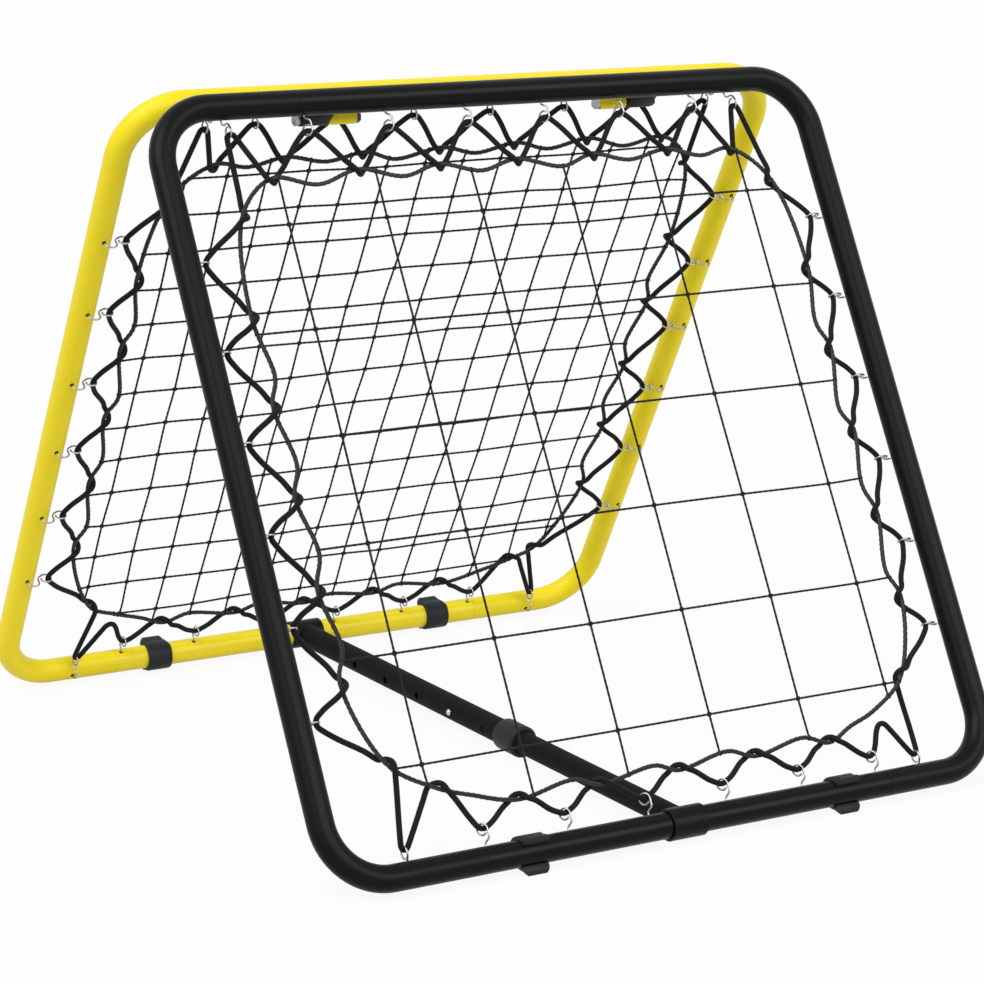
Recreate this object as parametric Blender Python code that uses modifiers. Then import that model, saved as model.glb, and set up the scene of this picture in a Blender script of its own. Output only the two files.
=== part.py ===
"""Football rebounder: two square steel-tube frames hinged at the top and spread by a telescoping strut.

The front frame is black with a wide-mesh net, the rear one is yellow with a fine-mesh net. Each net has a
border rope, and an elastic cord laces that rope to hooks in the tubes. All lengths are in metres, +Z is up,
+Y points to the rear, and the origin is on the ground below the middle of the object.
"""

import math

import bmesh
import bpy
from mathutils import Matrix, Vector

# Frames, measured between the tubes' axes
FRAME_WIDTH = 0.812
FRAME_LENGTH = 0.816
LEAN_ANGLE = math.radians(28.95)
TOP_TUBE_SPACING = 0.0532
TUBE_DIAMETER = 0.028
TUBE_WALL = 0.001
BEND_RADIUS = 0.064
BEND_STEPS = 4
TUBE_SIDES_LEVEL = 4
MIDDLE_TUBE_LENGTH = 0.499
MIDDLE_TUBE_OFFSET = 0.0095
SPIGOT_LENGTH = 0.040
SPIGOT_CLEARANCE = 0.0004
SPIGOT_TAPER = 0.0015

# Gaps between neighbours
SEAT_GAP = 0.0003
RUNNING_CLEARANCE = 0.0004

# Hooks and their holes
HOOK_PITCH = 0.097
MIDDLE_HOOKS = 6
SIDE_HOOKS = 6
CORNER_HOOK_INSET = 0.088
HOOK_HOLE_DIAMETER = 0.005
HOOK_HOLE_SIDES = 6
HOOK_WIRE_DIAMETER = 0.0022
HOOK_TIP_DEPTH = 0.004
SIDE_HOOK_STAND_OFF = 0.005
SIDE_EYE_REACH = 0.0122
SIDE_EYE_RISE = 0.0028
MIDDLE_HOOK_STAND_OFF = 0.002
MIDDLE_EYE_REACH = 0.0175
EYE_CLEARANCE = 0.0010
EYE_TIP_RADIUS = 0.0012
EYE_TIP_TURN = math.radians(60)

# Nets
FRONT_MESH_PITCH = 0.1152
FRONT_MESH_SHIFT = 0.0075
FRONT_TOP_TWINE_DROP = 0.056
REAR_MESH_PITCH = 0.0490
REAR_MESH_SHIFT = 0.0
REAR_TOP_TWINE_DROP = 0.0205
TWINE_THICKNESS = 0.0022

# Border rope and the gaps that the elastic cord laces over
ROPE_DIAMETER = 0.005
ROPE_SLACK = 0.011
NET_SIDE_GAP = 0.057
NET_TOP_GAP = 0.078
NET_BOTTOM_GAP = 0.054

# Elastic cord, with its wraps round the border rope
CORD_DIAMETER = 0.006
SIDE_WRAP_DROP = 0.015
WRAP_CLEARANCE = 0.0013
WRAP_RUN = 0.016
WRAP_POINTS = 3

# Cord and rope places at a corner of the net, as insets across and along from that corner
TOP_CORNER_WRAP = (0.018, 0.042)
TOP_END_WRAP = (0.061, 0.004)
FRONT_LOWER_WRAPS = [(0.029, 0.058), (0.078, 0.0255)]
REAR_LOWER_WRAPS = [(0.040, 0.043), (0.071, 0.0275)]
LOWER_FREE_TURN = (0.073, 0.010)
ROPE_LOWER_CORNER = [(0.077, 0.0255), (0.113, 0.013)]

# Hinges
HINGE_DROP = 0.021
HINGE_OFFSET = 0.1883
KNUCKLE_LENGTH = 0.033
KNUCKLE_RADIUS = 0.008
KNUCKLE_GAP = 0.0006
SADDLE_HALF_ANGLE = math.radians(24)
BARREL_HALF_ANGLE = math.radians(100)
BOLT_DIAMETER = 0.0078
BOLT_HEAD_WIDTH = 0.013
BOLT_HEAD_HEIGHT = 0.0055
BOLT_SIDES = 12
NUT_HEIGHT = 0.0065
BOLT_END = 0.003

# Clip feet
FOOT_WIDTH = 0.033
FOOT_WALL = 0.0035
FOOT_LIP_STEP = 0.0022
FOOT_LIP_THICKNESS = 0.003
FOOT_LIP_WIDTH = 0.0045
FOOT_CHAMFER = 0.004
FOOT_MOUTH_HALF_ANGLE = math.radians(48)
FOOT_LIP_ROOT_ANGLE = math.radians(76)
FOOT_STEPS = 14

# Strut
SLEEVE_LENGTH = 0.042
SLEEVE_WALL = 0.0025
SLEEVE_SIDES = 16
STRUT_SLIDE_CLEARANCE = 0.0002
STRUT_INNER_WALL = 0.001
STRUT_OUTER_LENGTH = 0.5216
STRUT_HOLE_PITCH = 0.0755
STRUT_HOLES = 5
STRUT_HOLES_AHEAD = 1
BUTTON_INSET = 0.1365
INNER_TUBE_OVERRUN = 0.025
COLLAR_LENGTH = 0.040
COLLAR_DIAMETER = 0.036
COLLAR_LIP = 0.006
COLLAR_CHAMFER = 0.002
COLLAR_SIDES = 16

# Snap button and its leaf spring
BUTTON_DIAMETER = 0.0074
BUTTON_HOLE_CLEARANCE = 0.0005
BUTTON_PROUD = 0.0026
BUTTON_DOME = 0.0028
BUTTON_SIDES = 12
FLANGE_DIAMETER = 0.0096
FLANGE_THICKNESS = 0.0014
SPRING_WIDTH = 0.008
SPRING_THICKNESS = 0.0006
SPRING_LENGTH = 0.052
SPRING_BEND = 0.004
SPRING_BEND_END = 0.0018

# Worked out from the sizes above
TUBE_RADIUS = TUBE_DIAMETER / 2
ROPE_RADIUS = ROPE_DIAMETER / 2
CORD_RADIUS = CORD_DIAMETER / 2
HALF_WIDTH = FRAME_WIDTH / 2
HALF_LENGTH = FRAME_LENGTH / 2
TUBE_SIDES = 4 + 2 * TUBE_SIDES_LEVEL
TUBE_FLAT = math.cos(math.pi / TUBE_SIDES)
FOOT_BORE_RADIUS = TUBE_RADIUS + SEAT_GAP
FOOT_LIP_HEIGHT = FOOT_BORE_RADIUS + FOOT_WALL + FOOT_LIP_STEP
BOTTOM_AXIS_HEIGHT = FOOT_LIP_HEIGHT
TOP_AXIS_HEIGHT = BOTTOM_AXIS_HEIGHT + FRAME_LENGTH * math.cos(LEAN_ANGLE)
BOTTOM_AXIS_REACH = TOP_TUBE_SPACING / 2 + FRAME_LENGTH * math.sin(LEAN_ANGLE)
HINGE_HEIGHT = TOP_AXIS_HEIGHT - HINGE_DROP
MIDDLE_LEFT = MIDDLE_TUBE_OFFSET - MIDDLE_TUBE_LENGTH / 2
MIDDLE_RIGHT = MIDDLE_TUBE_OFFSET + MIDDLE_TUBE_LENGTH / 2
NET_HALF_WIDTH = HALF_WIDTH - NET_SIDE_GAP
NET_TOP_EDGE = HALF_LENGTH - NET_TOP_GAP
NET_BOTTOM_EDGE = HALF_LENGTH - NET_BOTTOM_GAP
STRUT_INNER_RADIUS = (TUBE_RADIUS - TUBE_WALL) * TUBE_FLAT - STRUT_SLIDE_CLEARANCE
OUTER_TUBE_END = BOTTOM_AXIS_REACH - STRUT_OUTER_LENGTH
BUTTON_PLACE = OUTER_TUBE_END + BUTTON_INSET
BUTTON_HOLE_RADIUS = BUTTON_DIAMETER / 2 + BUTTON_HOLE_CLEARANCE

ACROSS = Vector((1, 0, 0))
ALONG = Vector((0, 1, 0))
OUTWARDS = Vector((0, 0, 1))


def clear_scene():
    for obj in list(bpy.data.objects):
        bpy.data.objects.remove(obj, do_unlink=True)
    for collection in list(bpy.data.collections):
        bpy.data.collections.remove(collection)


def new_collection(name, hidden):
    collection = bpy.data.collections.new(name)
    collection.hide_render = hidden
    bpy.context.scene.collection.children.link(collection)
    return collection


clear_scene()
PARTS = new_collection("football_rebounder", False)
CUTTERS = new_collection("cutters", True)


def material(name, colour, roughness, metallic):
    made = bpy.data.materials.new(name)
    made.use_nodes = True
    shader = made.node_tree.nodes["Principled BSDF"]
    shader.inputs["Base Color"].default_value = (*colour, 1)
    shader.inputs["Roughness"].default_value = roughness
    shader.inputs["Metallic"].default_value = metallic
    made.diffuse_color = (*colour, 1)
    return made


BLACK_PAINT = material("black_painted_steel", (0.016, 0.017, 0.018), 0.38, 0.0)
YELLOW_PAINT = material("yellow_painted_steel", (0.82, 0.71, 0.035), 0.36, 0.0)
DARK_PLASTIC = material("dark_moulded_plastic", (0.022, 0.026, 0.028), 0.55, 0.0)
BRIGHT_STEEL = material("zinc_plated_steel", (0.62, 0.63, 0.64), 0.28, 1.0)
SPRING_STEEL = material("spring_steel", (0.25, 0.25, 0.26), 0.35, 1.0)
ELASTIC = material("black_elastic_cord", (0.013, 0.014, 0.014), 0.75, 0.0)
ROPE = material("dark_braided_rope", (0.045, 0.047, 0.047), 0.90, 0.0)
TWINE = material("black_twine", (0.012, 0.012, 0.012), 0.80, 0.0)


# Modelling helpers
def add_object(name, data, collection):
    obj = bpy.data.objects.new(name, data)
    collection.objects.link(obj)
    if collection is CUTTERS:
        obj.hide_render = True
        obj.display_type = "WIRE"
    return obj


def finish_part(obj, look, matrix, parent, smooth=True):
    """Colour the piece, round its shading and put it in place under its body's pivot."""
    obj.data.materials.clear()
    obj.data.materials.append(look)
    if smooth:
        obj.data.shade_smooth()
        obj.data.set_sharp_from_angle(angle=math.radians(40))
    obj.parent = parent
    obj.matrix_parent_inverse = parent.matrix_world.inverted()
    obj.matrix_world = matrix


def swept(name, routes, radius, level, factors=None, caps=True, closed=False, tilt=0.0):
    """A round bar or tube skin swept along each route, as one curve object."""
    curve = bpy.data.curves.new(name, "CURVE")
    curve.dimensions = "3D"
    curve.bevel_depth = radius
    curve.bevel_resolution = level
    curve.use_fill_caps = caps
    for route in routes:
        spline = curve.splines.new("POLY")
        spline.points.add(len(route) - 1)
        for index, place in enumerate(route):
            spline.points[index].co = (*place, 1)
            spline.points[index].radius = factors[index] if factors else 1
            spline.points[index].tilt = tilt
        spline.use_cyclic_u = closed
    return add_object(name, curve, CUTTERS)


def extruded(name, outlines, width):
    """A flat outline, with its holes, drawn in X and Y and given its width along Z."""
    curve = bpy.data.curves.new(name, "CURVE")
    curve.dimensions = "2D"
    curve.fill_mode = "BOTH"
    curve.extrude = width / 2
    for outline in outlines:
        spline = curve.splines.new("POLY")
        spline.points.add(len(outline) - 1)
        for index, place in enumerate(outline):
            spline.points[index].co = (place[0], place[1], 0, 1)
        spline.use_cyclic_u = True
    return add_object(name, curve, CUTTERS)


def as_mesh(curve, name, collection):
    """The curve made a mesh object with its caps welded on."""
    bpy.context.view_layer.update()
    graph = bpy.context.evaluated_depsgraph_get()
    mesh = bpy.data.meshes.new_from_object(curve.evaluated_get(graph))
    work = bmesh.new()
    work.from_mesh(mesh)
    bmesh.ops.remove_doubles(work, verts=work.verts, dist=1e-6)
    bmesh.ops.recalc_face_normals(work, faces=work.faces)
    work.to_mesh(mesh)
    work.free()
    made = add_object(name, mesh, collection)
    made.matrix_world = curve.matrix_world
    bpy.data.objects.remove(curve, do_unlink=True)
    return made


def turned(name, profile, steps, closed):
    """A profile of (radius, height) points turned about Z; it runs down its outer side."""
    points = [(radius, 0, height) for radius, height in profile]
    edges = [(index, index + 1) for index in range(len(points) - 1)]
    if closed:
        edges.append((len(points) - 1, 0))
    mesh = bpy.data.meshes.new(name)
    mesh.from_pydata(points, edges, [])
    obj = add_object(name, mesh, PARTS)
    screw = obj.modifiers.new("turn", "SCREW")
    screw.steps = steps
    screw.render_steps = steps
    screw.use_merge_vertices = True
    screw.merge_threshold = 1e-6
    return obj


def bars(name, ends, radius, sides, collection, matrix=Matrix()):
    """One object with a straight bar for each (start, end) pair."""
    work = bmesh.new()
    for start, end in ends:
        axis = end - start
        turn = axis.to_track_quat("Z", "Y").to_matrix().to_4x4()
        bmesh.ops.create_cone(
            work,
            cap_ends=True,
            segments=sides,
            radius1=radius,
            radius2=radius,
            depth=axis.length,
            matrix=Matrix.Translation((start + end) / 2) @ turn,
        )
    mesh = bpy.data.meshes.new(name)
    work.to_mesh(mesh)
    work.free()
    obj = add_object(name, mesh, collection)
    obj.matrix_world = matrix
    return obj


def cut(obj, cutter, operation="DIFFERENCE"):
    modifier = obj.modifiers.new(cutter.name, "BOOLEAN")
    modifier.operation = operation
    modifier.object = cutter
    modifier.solver = "EXACT"


def open_tube(name, route, radius, wall, factors=None):
    """A tube with open ends, turned so that a flat of its facets faces each row of holes."""
    turn = math.pi / TUBE_SIDES
    skin = swept(name + "_skin", [route], radius, TUBE_SIDES_LEVEL, factors, caps=False, tilt=turn)
    tube = as_mesh(skin, name, PARTS)
    solidify = tube.modifiers.new("wall", "SOLIDIFY")
    solidify.thickness = wall
    solidify.offset = -1
    solidify.use_even_offset = True
    return tube


def bore_radius(clear_radius, sides):
    """The corner radius of a many-sided bore whose flats clear a round of this radius."""
    return clear_radius / math.cos(math.pi / sides)


def arc(radius, first, last, steps, centre=(0, 0)):
    angles = [first + (last - first) * step / steps for step in range(steps + 1)]
    return [(centre[0] + radius * math.cos(a), centre[1] + radius * math.sin(a)) for a in angles]


def circle(radius, sides, centre=(0, 0)):
    return arc(radius, 0, 2 * math.pi, sides, centre)[:-1]


def midpoints(places):
    return [(first + second) / 2 for first, second in zip(places[:-1], places[1:])]


# Each frame is drawn flat: X across, Y up the slope, Z out of its outer face, origin in its middle
def frame_matrix(turn):
    lean = Matrix.Rotation(math.pi / 2 - LEAN_ANGLE, 4, "X")
    middle_reach = (BOTTOM_AXIS_REACH + TOP_TUBE_SPACING / 2) / 2
    middle_height = (TOP_AXIS_HEIGHT + BOTTOM_AXIS_HEIGHT) / 2
    return Matrix.Rotation(turn, 4, "Z") @ Matrix.Translation((0, -middle_reach, middle_height)) @ lean


def pivot(name, place):
    empty = bpy.data.objects.new(name, None)
    empty.empty_display_size = 0.05
    PARTS.objects.link(empty)
    empty.location = place
    return empty


FRONT = frame_matrix(0)
REAR = frame_matrix(math.pi)
STRUT_AXIS = Matrix.Translation((0, 0, BOTTOM_AXIS_HEIGHT))
FRONT_PIVOT = pivot("front_frame_body", (0, 0, HINGE_HEIGHT))
REAR_PIVOT = pivot("rear_frame_pivot", (0, 0, HINGE_HEIGHT))
OUTER_PIVOT = pivot("strut_outer_pivot", (0, BOTTOM_AXIS_REACH, BOTTOM_AXIS_HEIGHT))
INNER_PIVOT = pivot("strut_inner_pivot", (0, -BOTTOM_AXIS_REACH, BOTTOM_AXIS_HEIGHT))
BUTTON_PIVOT = pivot("button_pivot", (0, BUTTON_PLACE, BOTTOM_AXIS_HEIGHT))
bpy.context.view_layer.update()


def evenly_spaced(count, middle):
    return [middle + HOOK_PITCH * (step - (count - 1) / 2) for step in range(count)]


MIDDLE_HOOK_PLACES = evenly_spaced(MIDDLE_HOOKS, MIDDLE_TUBE_OFFSET)
SIDE_HOOK_PLACES = evenly_spaced(SIDE_HOOKS, 0)
CORNER_HOOK_OFFSET = HALF_WIDTH - CORNER_HOOK_INSET


# Frame tubes
def wall_drill(centre, direction):
    """A drill through the tube, and through a spigot inside it, on one side of the axis."""
    inside = TUBE_RADIUS - 3 * TUBE_WALL - SPIGOT_CLEARANCE
    return centre + direction * inside, centre + direction * (TUBE_RADIUS + TUBE_WALL)


def middle_drills(row):
    """Hook holes of a middle tube: they face the net."""
    centres = [Vector((place, row * HALF_LENGTH, 0)) for place in MIDDLE_HOOK_PLACES]
    return [wall_drill(centre, -row * ALONG) for centre in centres]


def side_drills(side):
    """Hook holes of a side tube and its two arms: they face the other frame."""
    centres = [Vector((side * HALF_WIDTH, place, 0)) for place in SIDE_HOOK_PLACES]
    centres += [Vector((side * CORNER_HOOK_OFFSET, row * HALF_LENGTH, 0)) for row in (1, -1)]
    return [wall_drill(centre, -OUTWARDS) for centre in centres]


def side_route(side):
    """Centre line and radius factors of a side tube, from its top spigot to its bottom one."""
    seam = MIDDLE_RIGHT if side > 0 else MIDDLE_LEFT
    spigot_factor = (TUBE_RADIUS - TUBE_WALL - SPIGOT_CLEARANCE) / TUBE_RADIUS
    spigot = [
        (seam - side * SPIGOT_LENGTH, spigot_factor),
        (seam + side * SEAT_GAP, spigot_factor),
        (seam + side * (SEAT_GAP + SPIGOT_TAPER), 1),
    ]
    upper = [(Vector((place, HALF_LENGTH, 0)), factor) for place, factor in spigot]
    centre = (HALF_WIDTH - BEND_RADIUS, HALF_LENGTH - BEND_RADIUS)
    bend = arc(BEND_RADIUS, math.pi / 2, 0, BEND_STEPS, centre)
    upper += [(Vector((side * x, y, 0)), 1) for x, y in bend]
    lower = [(Vector((place.x, -place.y, 0)), factor) for place, factor in reversed(upper)]
    return upper + lower


def make_side_tube(name, side, matrix, parent, look):
    route = side_route(side)
    places = [place for place, factor in route]
    factors = [factor for place, factor in route]
    tube = open_tube(name, places, TUBE_RADIUS, TUBE_WALL, factors)
    drills = side_drills(side) + middle_drills(1) + middle_drills(-1)
    cut(tube, bars(name + "_holes", drills, HOOK_HOLE_DIAMETER / 2, HOOK_HOLE_SIDES, CUTTERS, matrix))
    finish_part(tube, look, matrix, parent)


def make_middle_tube(name, row, matrix, parent, look):
    ends = [Vector((place, row * HALF_LENGTH, 0)) for place in (MIDDLE_LEFT, MIDDLE_RIGHT)]
    tube = open_tube(name, ends, TUBE_RADIUS, TUBE_WALL)
    holes = bars(
        name + "_holes", middle_drills(row), HOOK_HOLE_DIAMETER / 2, HOOK_HOLE_SIDES, CUTTERS, matrix
    )
    cut(tube, holes)
    finish_part(tube, look, matrix, parent)


# Hooks: their wire is drawn as (towards the net, out of the frame) from the tube's axis
SIDE_EYE = (TUBE_RADIUS + SIDE_EYE_REACH, SIDE_EYE_RISE - TUBE_RADIUS)
MIDDLE_EYE = (TUBE_RADIUS + MIDDLE_EYE_REACH, 0)
HOOK_LEAN = (HOOK_HOLE_DIAMETER - HOOK_WIRE_DIAMETER) / 2 - SEAT_GAP


def eye(centre, first, last):
    """The wire bent round the cord in two straight steps, with its tip closed on it."""
    first, last = math.radians(first), math.radians(last)
    radius = (CORD_RADIUS + HOOK_WIRE_DIAMETER / 2 + EYE_CLEARANCE) / math.cos((last - first) / 4)
    tip = arc(EYE_TIP_RADIUS, last, last - EYE_TIP_TURN, 1, centre)[-1]
    return arc(radius, first, last, 2, centre) + [tip]


def side_hook_wire():
    """From its tip in the hole of the inner face, round the tube and over the cord."""
    tip = HOOK_TIP_DEPTH - TUBE_RADIUS
    turn = -TUBE_RADIUS - SIDE_HOOK_STAND_OFF
    return [(HOOK_LEAN, tip), (HOOK_LEAN, turn)] + eye(SIDE_EYE, 165, 5)


def middle_hook_wire():
    """From its tip in the hole that faces the net, out and over the cord."""
    tip = TUBE_RADIUS - HOOK_TIP_DEPTH
    turn = TUBE_RADIUS + MIDDLE_HOOK_STAND_OFF
    return [(tip, HOOK_LEAN), (turn, HOOK_LEAN)] + eye(MIDDLE_EYE, 140, -20)


def hook_ring():
    """Every hook in order round the frame: (tube centre, direction to the net, True for a side hook)."""

    def middle(place, row):
        return Vector((place, row * HALF_LENGTH, 0)), -row * ALONG, False

    def corner(side, row):
        return Vector((side * CORNER_HOOK_OFFSET, row * HALF_LENGTH, 0)), -row * ALONG, True

    def beside(place, side):
        return Vector((side * HALF_WIDTH, place, 0)), -side * ACROSS, True

    ring = [corner(-1, 1)] + [middle(place, 1) for place in MIDDLE_HOOK_PLACES]
    ring += [corner(1, 1)] + [beside(place, 1) for place in reversed(SIDE_HOOK_PLACES)]
    ring += [corner(1, -1)] + [middle(place, -1) for place in reversed(MIDDLE_HOOK_PLACES)]
    ring += [corner(-1, -1)] + [beside(place, -1) for place in SIDE_HOOK_PLACES]
    return ring


def on_hook(hook, point):
    centre, inwards, side_hook = hook
    return centre + inwards * point[0] + OUTWARDS * point[1]


def hook_route(hook):
    wire = side_hook_wire() if hook[2] else middle_hook_wire()
    return [on_hook(hook, point) for point in wire]


def hook_eye(hook):
    return on_hook(hook, SIDE_EYE if hook[2] else MIDDLE_EYE)


# Lacing: the cord wraps the border rope once between each hook and the next
TOP_WRAPS = [Vector((x, NET_TOP_EDGE, 0)) for x in midpoints(MIDDLE_HOOK_PLACES)]
BOTTOM_WRAPS = [Vector((x, -NET_BOTTOM_EDGE, 0)) for x in reversed(midpoints(MIDDLE_HOOK_PLACES))]
LEFT_WRAPS = [Vector((-NET_HALF_WIDTH, y - SIDE_WRAP_DROP, 0)) for y in midpoints(SIDE_HOOK_PLACES)]
RIGHT_WRAPS = [Vector((-place.x, place.y, 0)) for place in reversed(LEFT_WRAPS)]


def net_corner(side, row, inset):
    edge = NET_TOP_EDGE if row > 0 else -NET_BOTTOM_EDGE
    return Vector((side * (NET_HALF_WIDTH - inset[0]), edge - row * inset[1], 0))


def wrap_ring(lower_wraps):
    """The cord's turn after each hook of the ring: (place, True where it grips the rope)."""
    side_wrap, end_wrap = lower_wraps
    free = net_corner(1, -1, LOWER_FREE_TURN)
    ring = [net_corner(-1, 1, TOP_END_WRAP), *TOP_WRAPS, net_corner(1, 1, TOP_END_WRAP)]
    ring += [net_corner(1, 1, TOP_CORNER_WRAP), *RIGHT_WRAPS, net_corner(1, -1, side_wrap)]
    ring += [free, *BOTTOM_WRAPS, net_corner(-1, -1, end_wrap)]
    ring += [net_corner(-1, -1, side_wrap), *LEFT_WRAPS, net_corner(-1, 1, TOP_CORNER_WRAP)]
    return [(place, place != free) for place in ring]


def slack_edge(wraps, inwards):
    """The rope through the wraps of one edge, with its slack drawn into the net between them."""
    route = [wraps[0]]
    for start, end in zip(wraps[:-1], wraps[1:]):
        slack = ROPE_SLACK * ((end - start).length / HOOK_PITCH) ** 2
        route += [(start + end) / 2 + inwards * slack, end]
    return route


def rope_route(lower_wraps):
    """The border rope, clockwise from its top left end, with no slack round the net's corners."""
    side_wrap, end_wrap = lower_wraps
    top = [net_corner(-1, 1, TOP_END_WRAP), *TOP_WRAPS, net_corner(1, 1, TOP_END_WRAP)]
    route = slack_edge(top, -ALONG)
    route += [net_corner(1, 1, TOP_CORNER_WRAP), *slack_edge(RIGHT_WRAPS, -ACROSS)]
    route += [net_corner(1, -1, inset) for inset in (side_wrap, *ROPE_LOWER_CORNER)]
    route += slack_edge(BOTTOM_WRAPS, ALONG)
    route += [net_corner(-1, -1, inset) for inset in (ROPE_LOWER_CORNER[-1], end_wrap, side_wrap)]
    route += [*slack_edge(LEFT_WRAPS, ACROSS), net_corner(-1, 1, TOP_CORNER_WRAP)]
    return route


def direction_along(route, index):
    return (route[(index + 1) % len(route)] - route[index - 1]).normalized()


def cord_route(lower_wraps, rope):
    """The elastic cord: through a hook, over the rope, round its net side and back under it."""
    turn = math.pi / (WRAP_POINTS - 1)
    reach = (ROPE_RADIUS + CORD_RADIUS + WRAP_CLEARANCE) / math.cos(turn / 2)
    route = []
    for hook, (place, grips_rope) in zip(hook_ring(), wrap_ring(lower_wraps)):
        route.append(hook_eye(hook))
        if not grips_rope:
            route.append(place)
            continue
        along = direction_along(rope, rope.index(place))
        inwards = along.cross(OUTWARDS)
        for step in range(WRAP_POINTS):
            angle = math.pi / 2 - step * turn
            offset = OUTWARDS * math.sin(angle) + inwards * math.cos(angle)
            run = WRAP_RUN * (step / (WRAP_POINTS - 1) - 1 / 2)
            route.append(place + offset * reach + along * run)
    return route


def make_border_rope(name, rope, matrix, parent):
    curve = swept(name + "_curve", [rope], ROPE_RADIUS, 1, closed=True)
    finish_part(as_mesh(curve, name, PARTS), ROPE, matrix, parent)


def make_lacing(name, lower_wraps, rope, matrix, parent):
    """The endless elastic cord, joined to the hooks that it passes through."""
    route = cord_route(lower_wraps, rope)
    cord = as_mesh(swept(name + "_curve", [route], CORD_RADIUS, 1, closed=True), name, PARTS)
    wires = [hook_route(hook) for hook in hook_ring()]
    hook_curves = swept(name + "_hook_curves", wires, HOOK_WIRE_DIAMETER / 2, 0)
    hooks = as_mesh(hook_curves, name + "_hooks", CUTTERS)
    hooks.matrix_world = matrix
    cut(cord, hooks, "UNION")
    finish_part(cord, ELASTIC, matrix, parent)


def twine_places(anchor, pitch, low, high):
    """The twines between two edges of the net, at a whole number of pitches from the anchor."""
    first = anchor - pitch * math.floor((anchor - low) / pitch)
    return [first + pitch * step for step in range(math.floor((high - first) / pitch) + 1)]


def make_net(name, pitch, shift, top_drop, rope, matrix, parent):
    """A square mesh whose twines run out to the border rope."""
    margin = ROPE_SLACK + ROPE_DIAMETER + TWINE_THICKNESS
    right = NET_HALF_WIDTH - margin
    columns = twine_places(shift + pitch / 2, pitch, -right, right)
    rows = twine_places(NET_TOP_EDGE - top_drop, pitch, margin - NET_BOTTOM_EDGE, NET_TOP_EDGE - margin)
    columns = [-HALF_WIDTH, *columns, HALF_WIDTH]
    rows = [-HALF_LENGTH, *rows, HALF_LENGTH]
    work = bmesh.new()
    spans = (len(columns) - 1, len(rows) - 1)
    grid = Matrix.Translation((spans[0] / 2, spans[1] / 2, 0)) @ Matrix.Diagonal((*spans, 1, 1))
    bmesh.ops.create_grid(work, x_segments=spans[0], y_segments=spans[1], size=0.5, matrix=grid)
    for vert in work.verts:
        vert.co = (columns[round(vert.co.x)], rows[round(vert.co.y)], 0)
    mesh = bpy.data.meshes.new(name)
    work.to_mesh(mesh)
    work.free()
    net = add_object(name, mesh, PARTS)
    wires = net.modifiers.new("twines", "WIREFRAME")
    wires.thickness = TWINE_THICKNESS
    wires.use_even_offset = True
    inset = ROPE_RADIUS + SEAT_GAP
    outline = [
        place + direction_along(rope, index).cross(OUTWARDS) * inset for index, place in enumerate(rope)
    ]
    trim = as_mesh(extruded(name + "_trim_curve", [outline], 4 * TWINE_THICKNESS), name + "_trim", CUTTERS)
    trim.matrix_world = matrix
    cut(net, trim, "INTERSECT")
    finish_part(net, TWINE, matrix, parent, smooth=False)


# Clip feet
def foot_outline():
    """The clip's section: a split ring with a flat lip above and below its mouth."""
    mouth = FOOT_MOUTH_HALF_ANGLE
    outer = FOOT_BORE_RADIUS + FOOT_WALL
    root = FOOT_LIP_ROOT_ANGLE
    upper_lip = [
        (TUBE_RADIUS, FOOT_LIP_HEIGHT - FOOT_LIP_THICKNESS),
        (TUBE_RADIUS, FOOT_LIP_HEIGHT),
        (TUBE_RADIUS - FOOT_LIP_WIDTH, FOOT_LIP_HEIGHT),
    ]
    lower_lip = [(x, -y) for x, y in reversed(upper_lip)]
    outline = arc(FOOT_BORE_RADIUS, 2 * math.pi - mouth, mouth, FOOT_STEPS) + upper_lip
    return outline + arc(outer, root, 2 * math.pi - root, FOOT_STEPS - 2) + lower_lip


def make_foot(name, place, turn, parent):
    """A clip that grips the bottom tube from its inner side and stands on its lower lip."""
    clip = as_mesh(extruded(name + "_curve", [foot_outline()], FOOT_WIDTH), name, PARTS)
    end = FOOT_WIDTH / 2
    straight = end - FOOT_CHAMFER
    blank = [(end, TUBE_RADIUS), (straight, FOOT_LIP_HEIGHT)]
    blank += [(-x, y) for x, y in reversed(blank)]
    blank += [(x, -y) for x, y in reversed(blank)]
    envelope = as_mesh(
        extruded(name + "_blank_curve", [blank], 2 * TUBE_DIAMETER), name + "_blank", CUTTERS
    )
    upright = Matrix.Rotation(math.pi / 2, 4, "X")
    stand = Matrix.Translation(place) @ Matrix.Rotation(turn, 4, "Z")
    envelope.matrix_world = stand @ upright
    cut(clip, envelope, "INTERSECT")
    finish_part(clip, DARK_PLASTIC, stand @ Matrix.Rotation(-math.pi / 2, 4, "Z") @ upright, parent)


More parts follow.
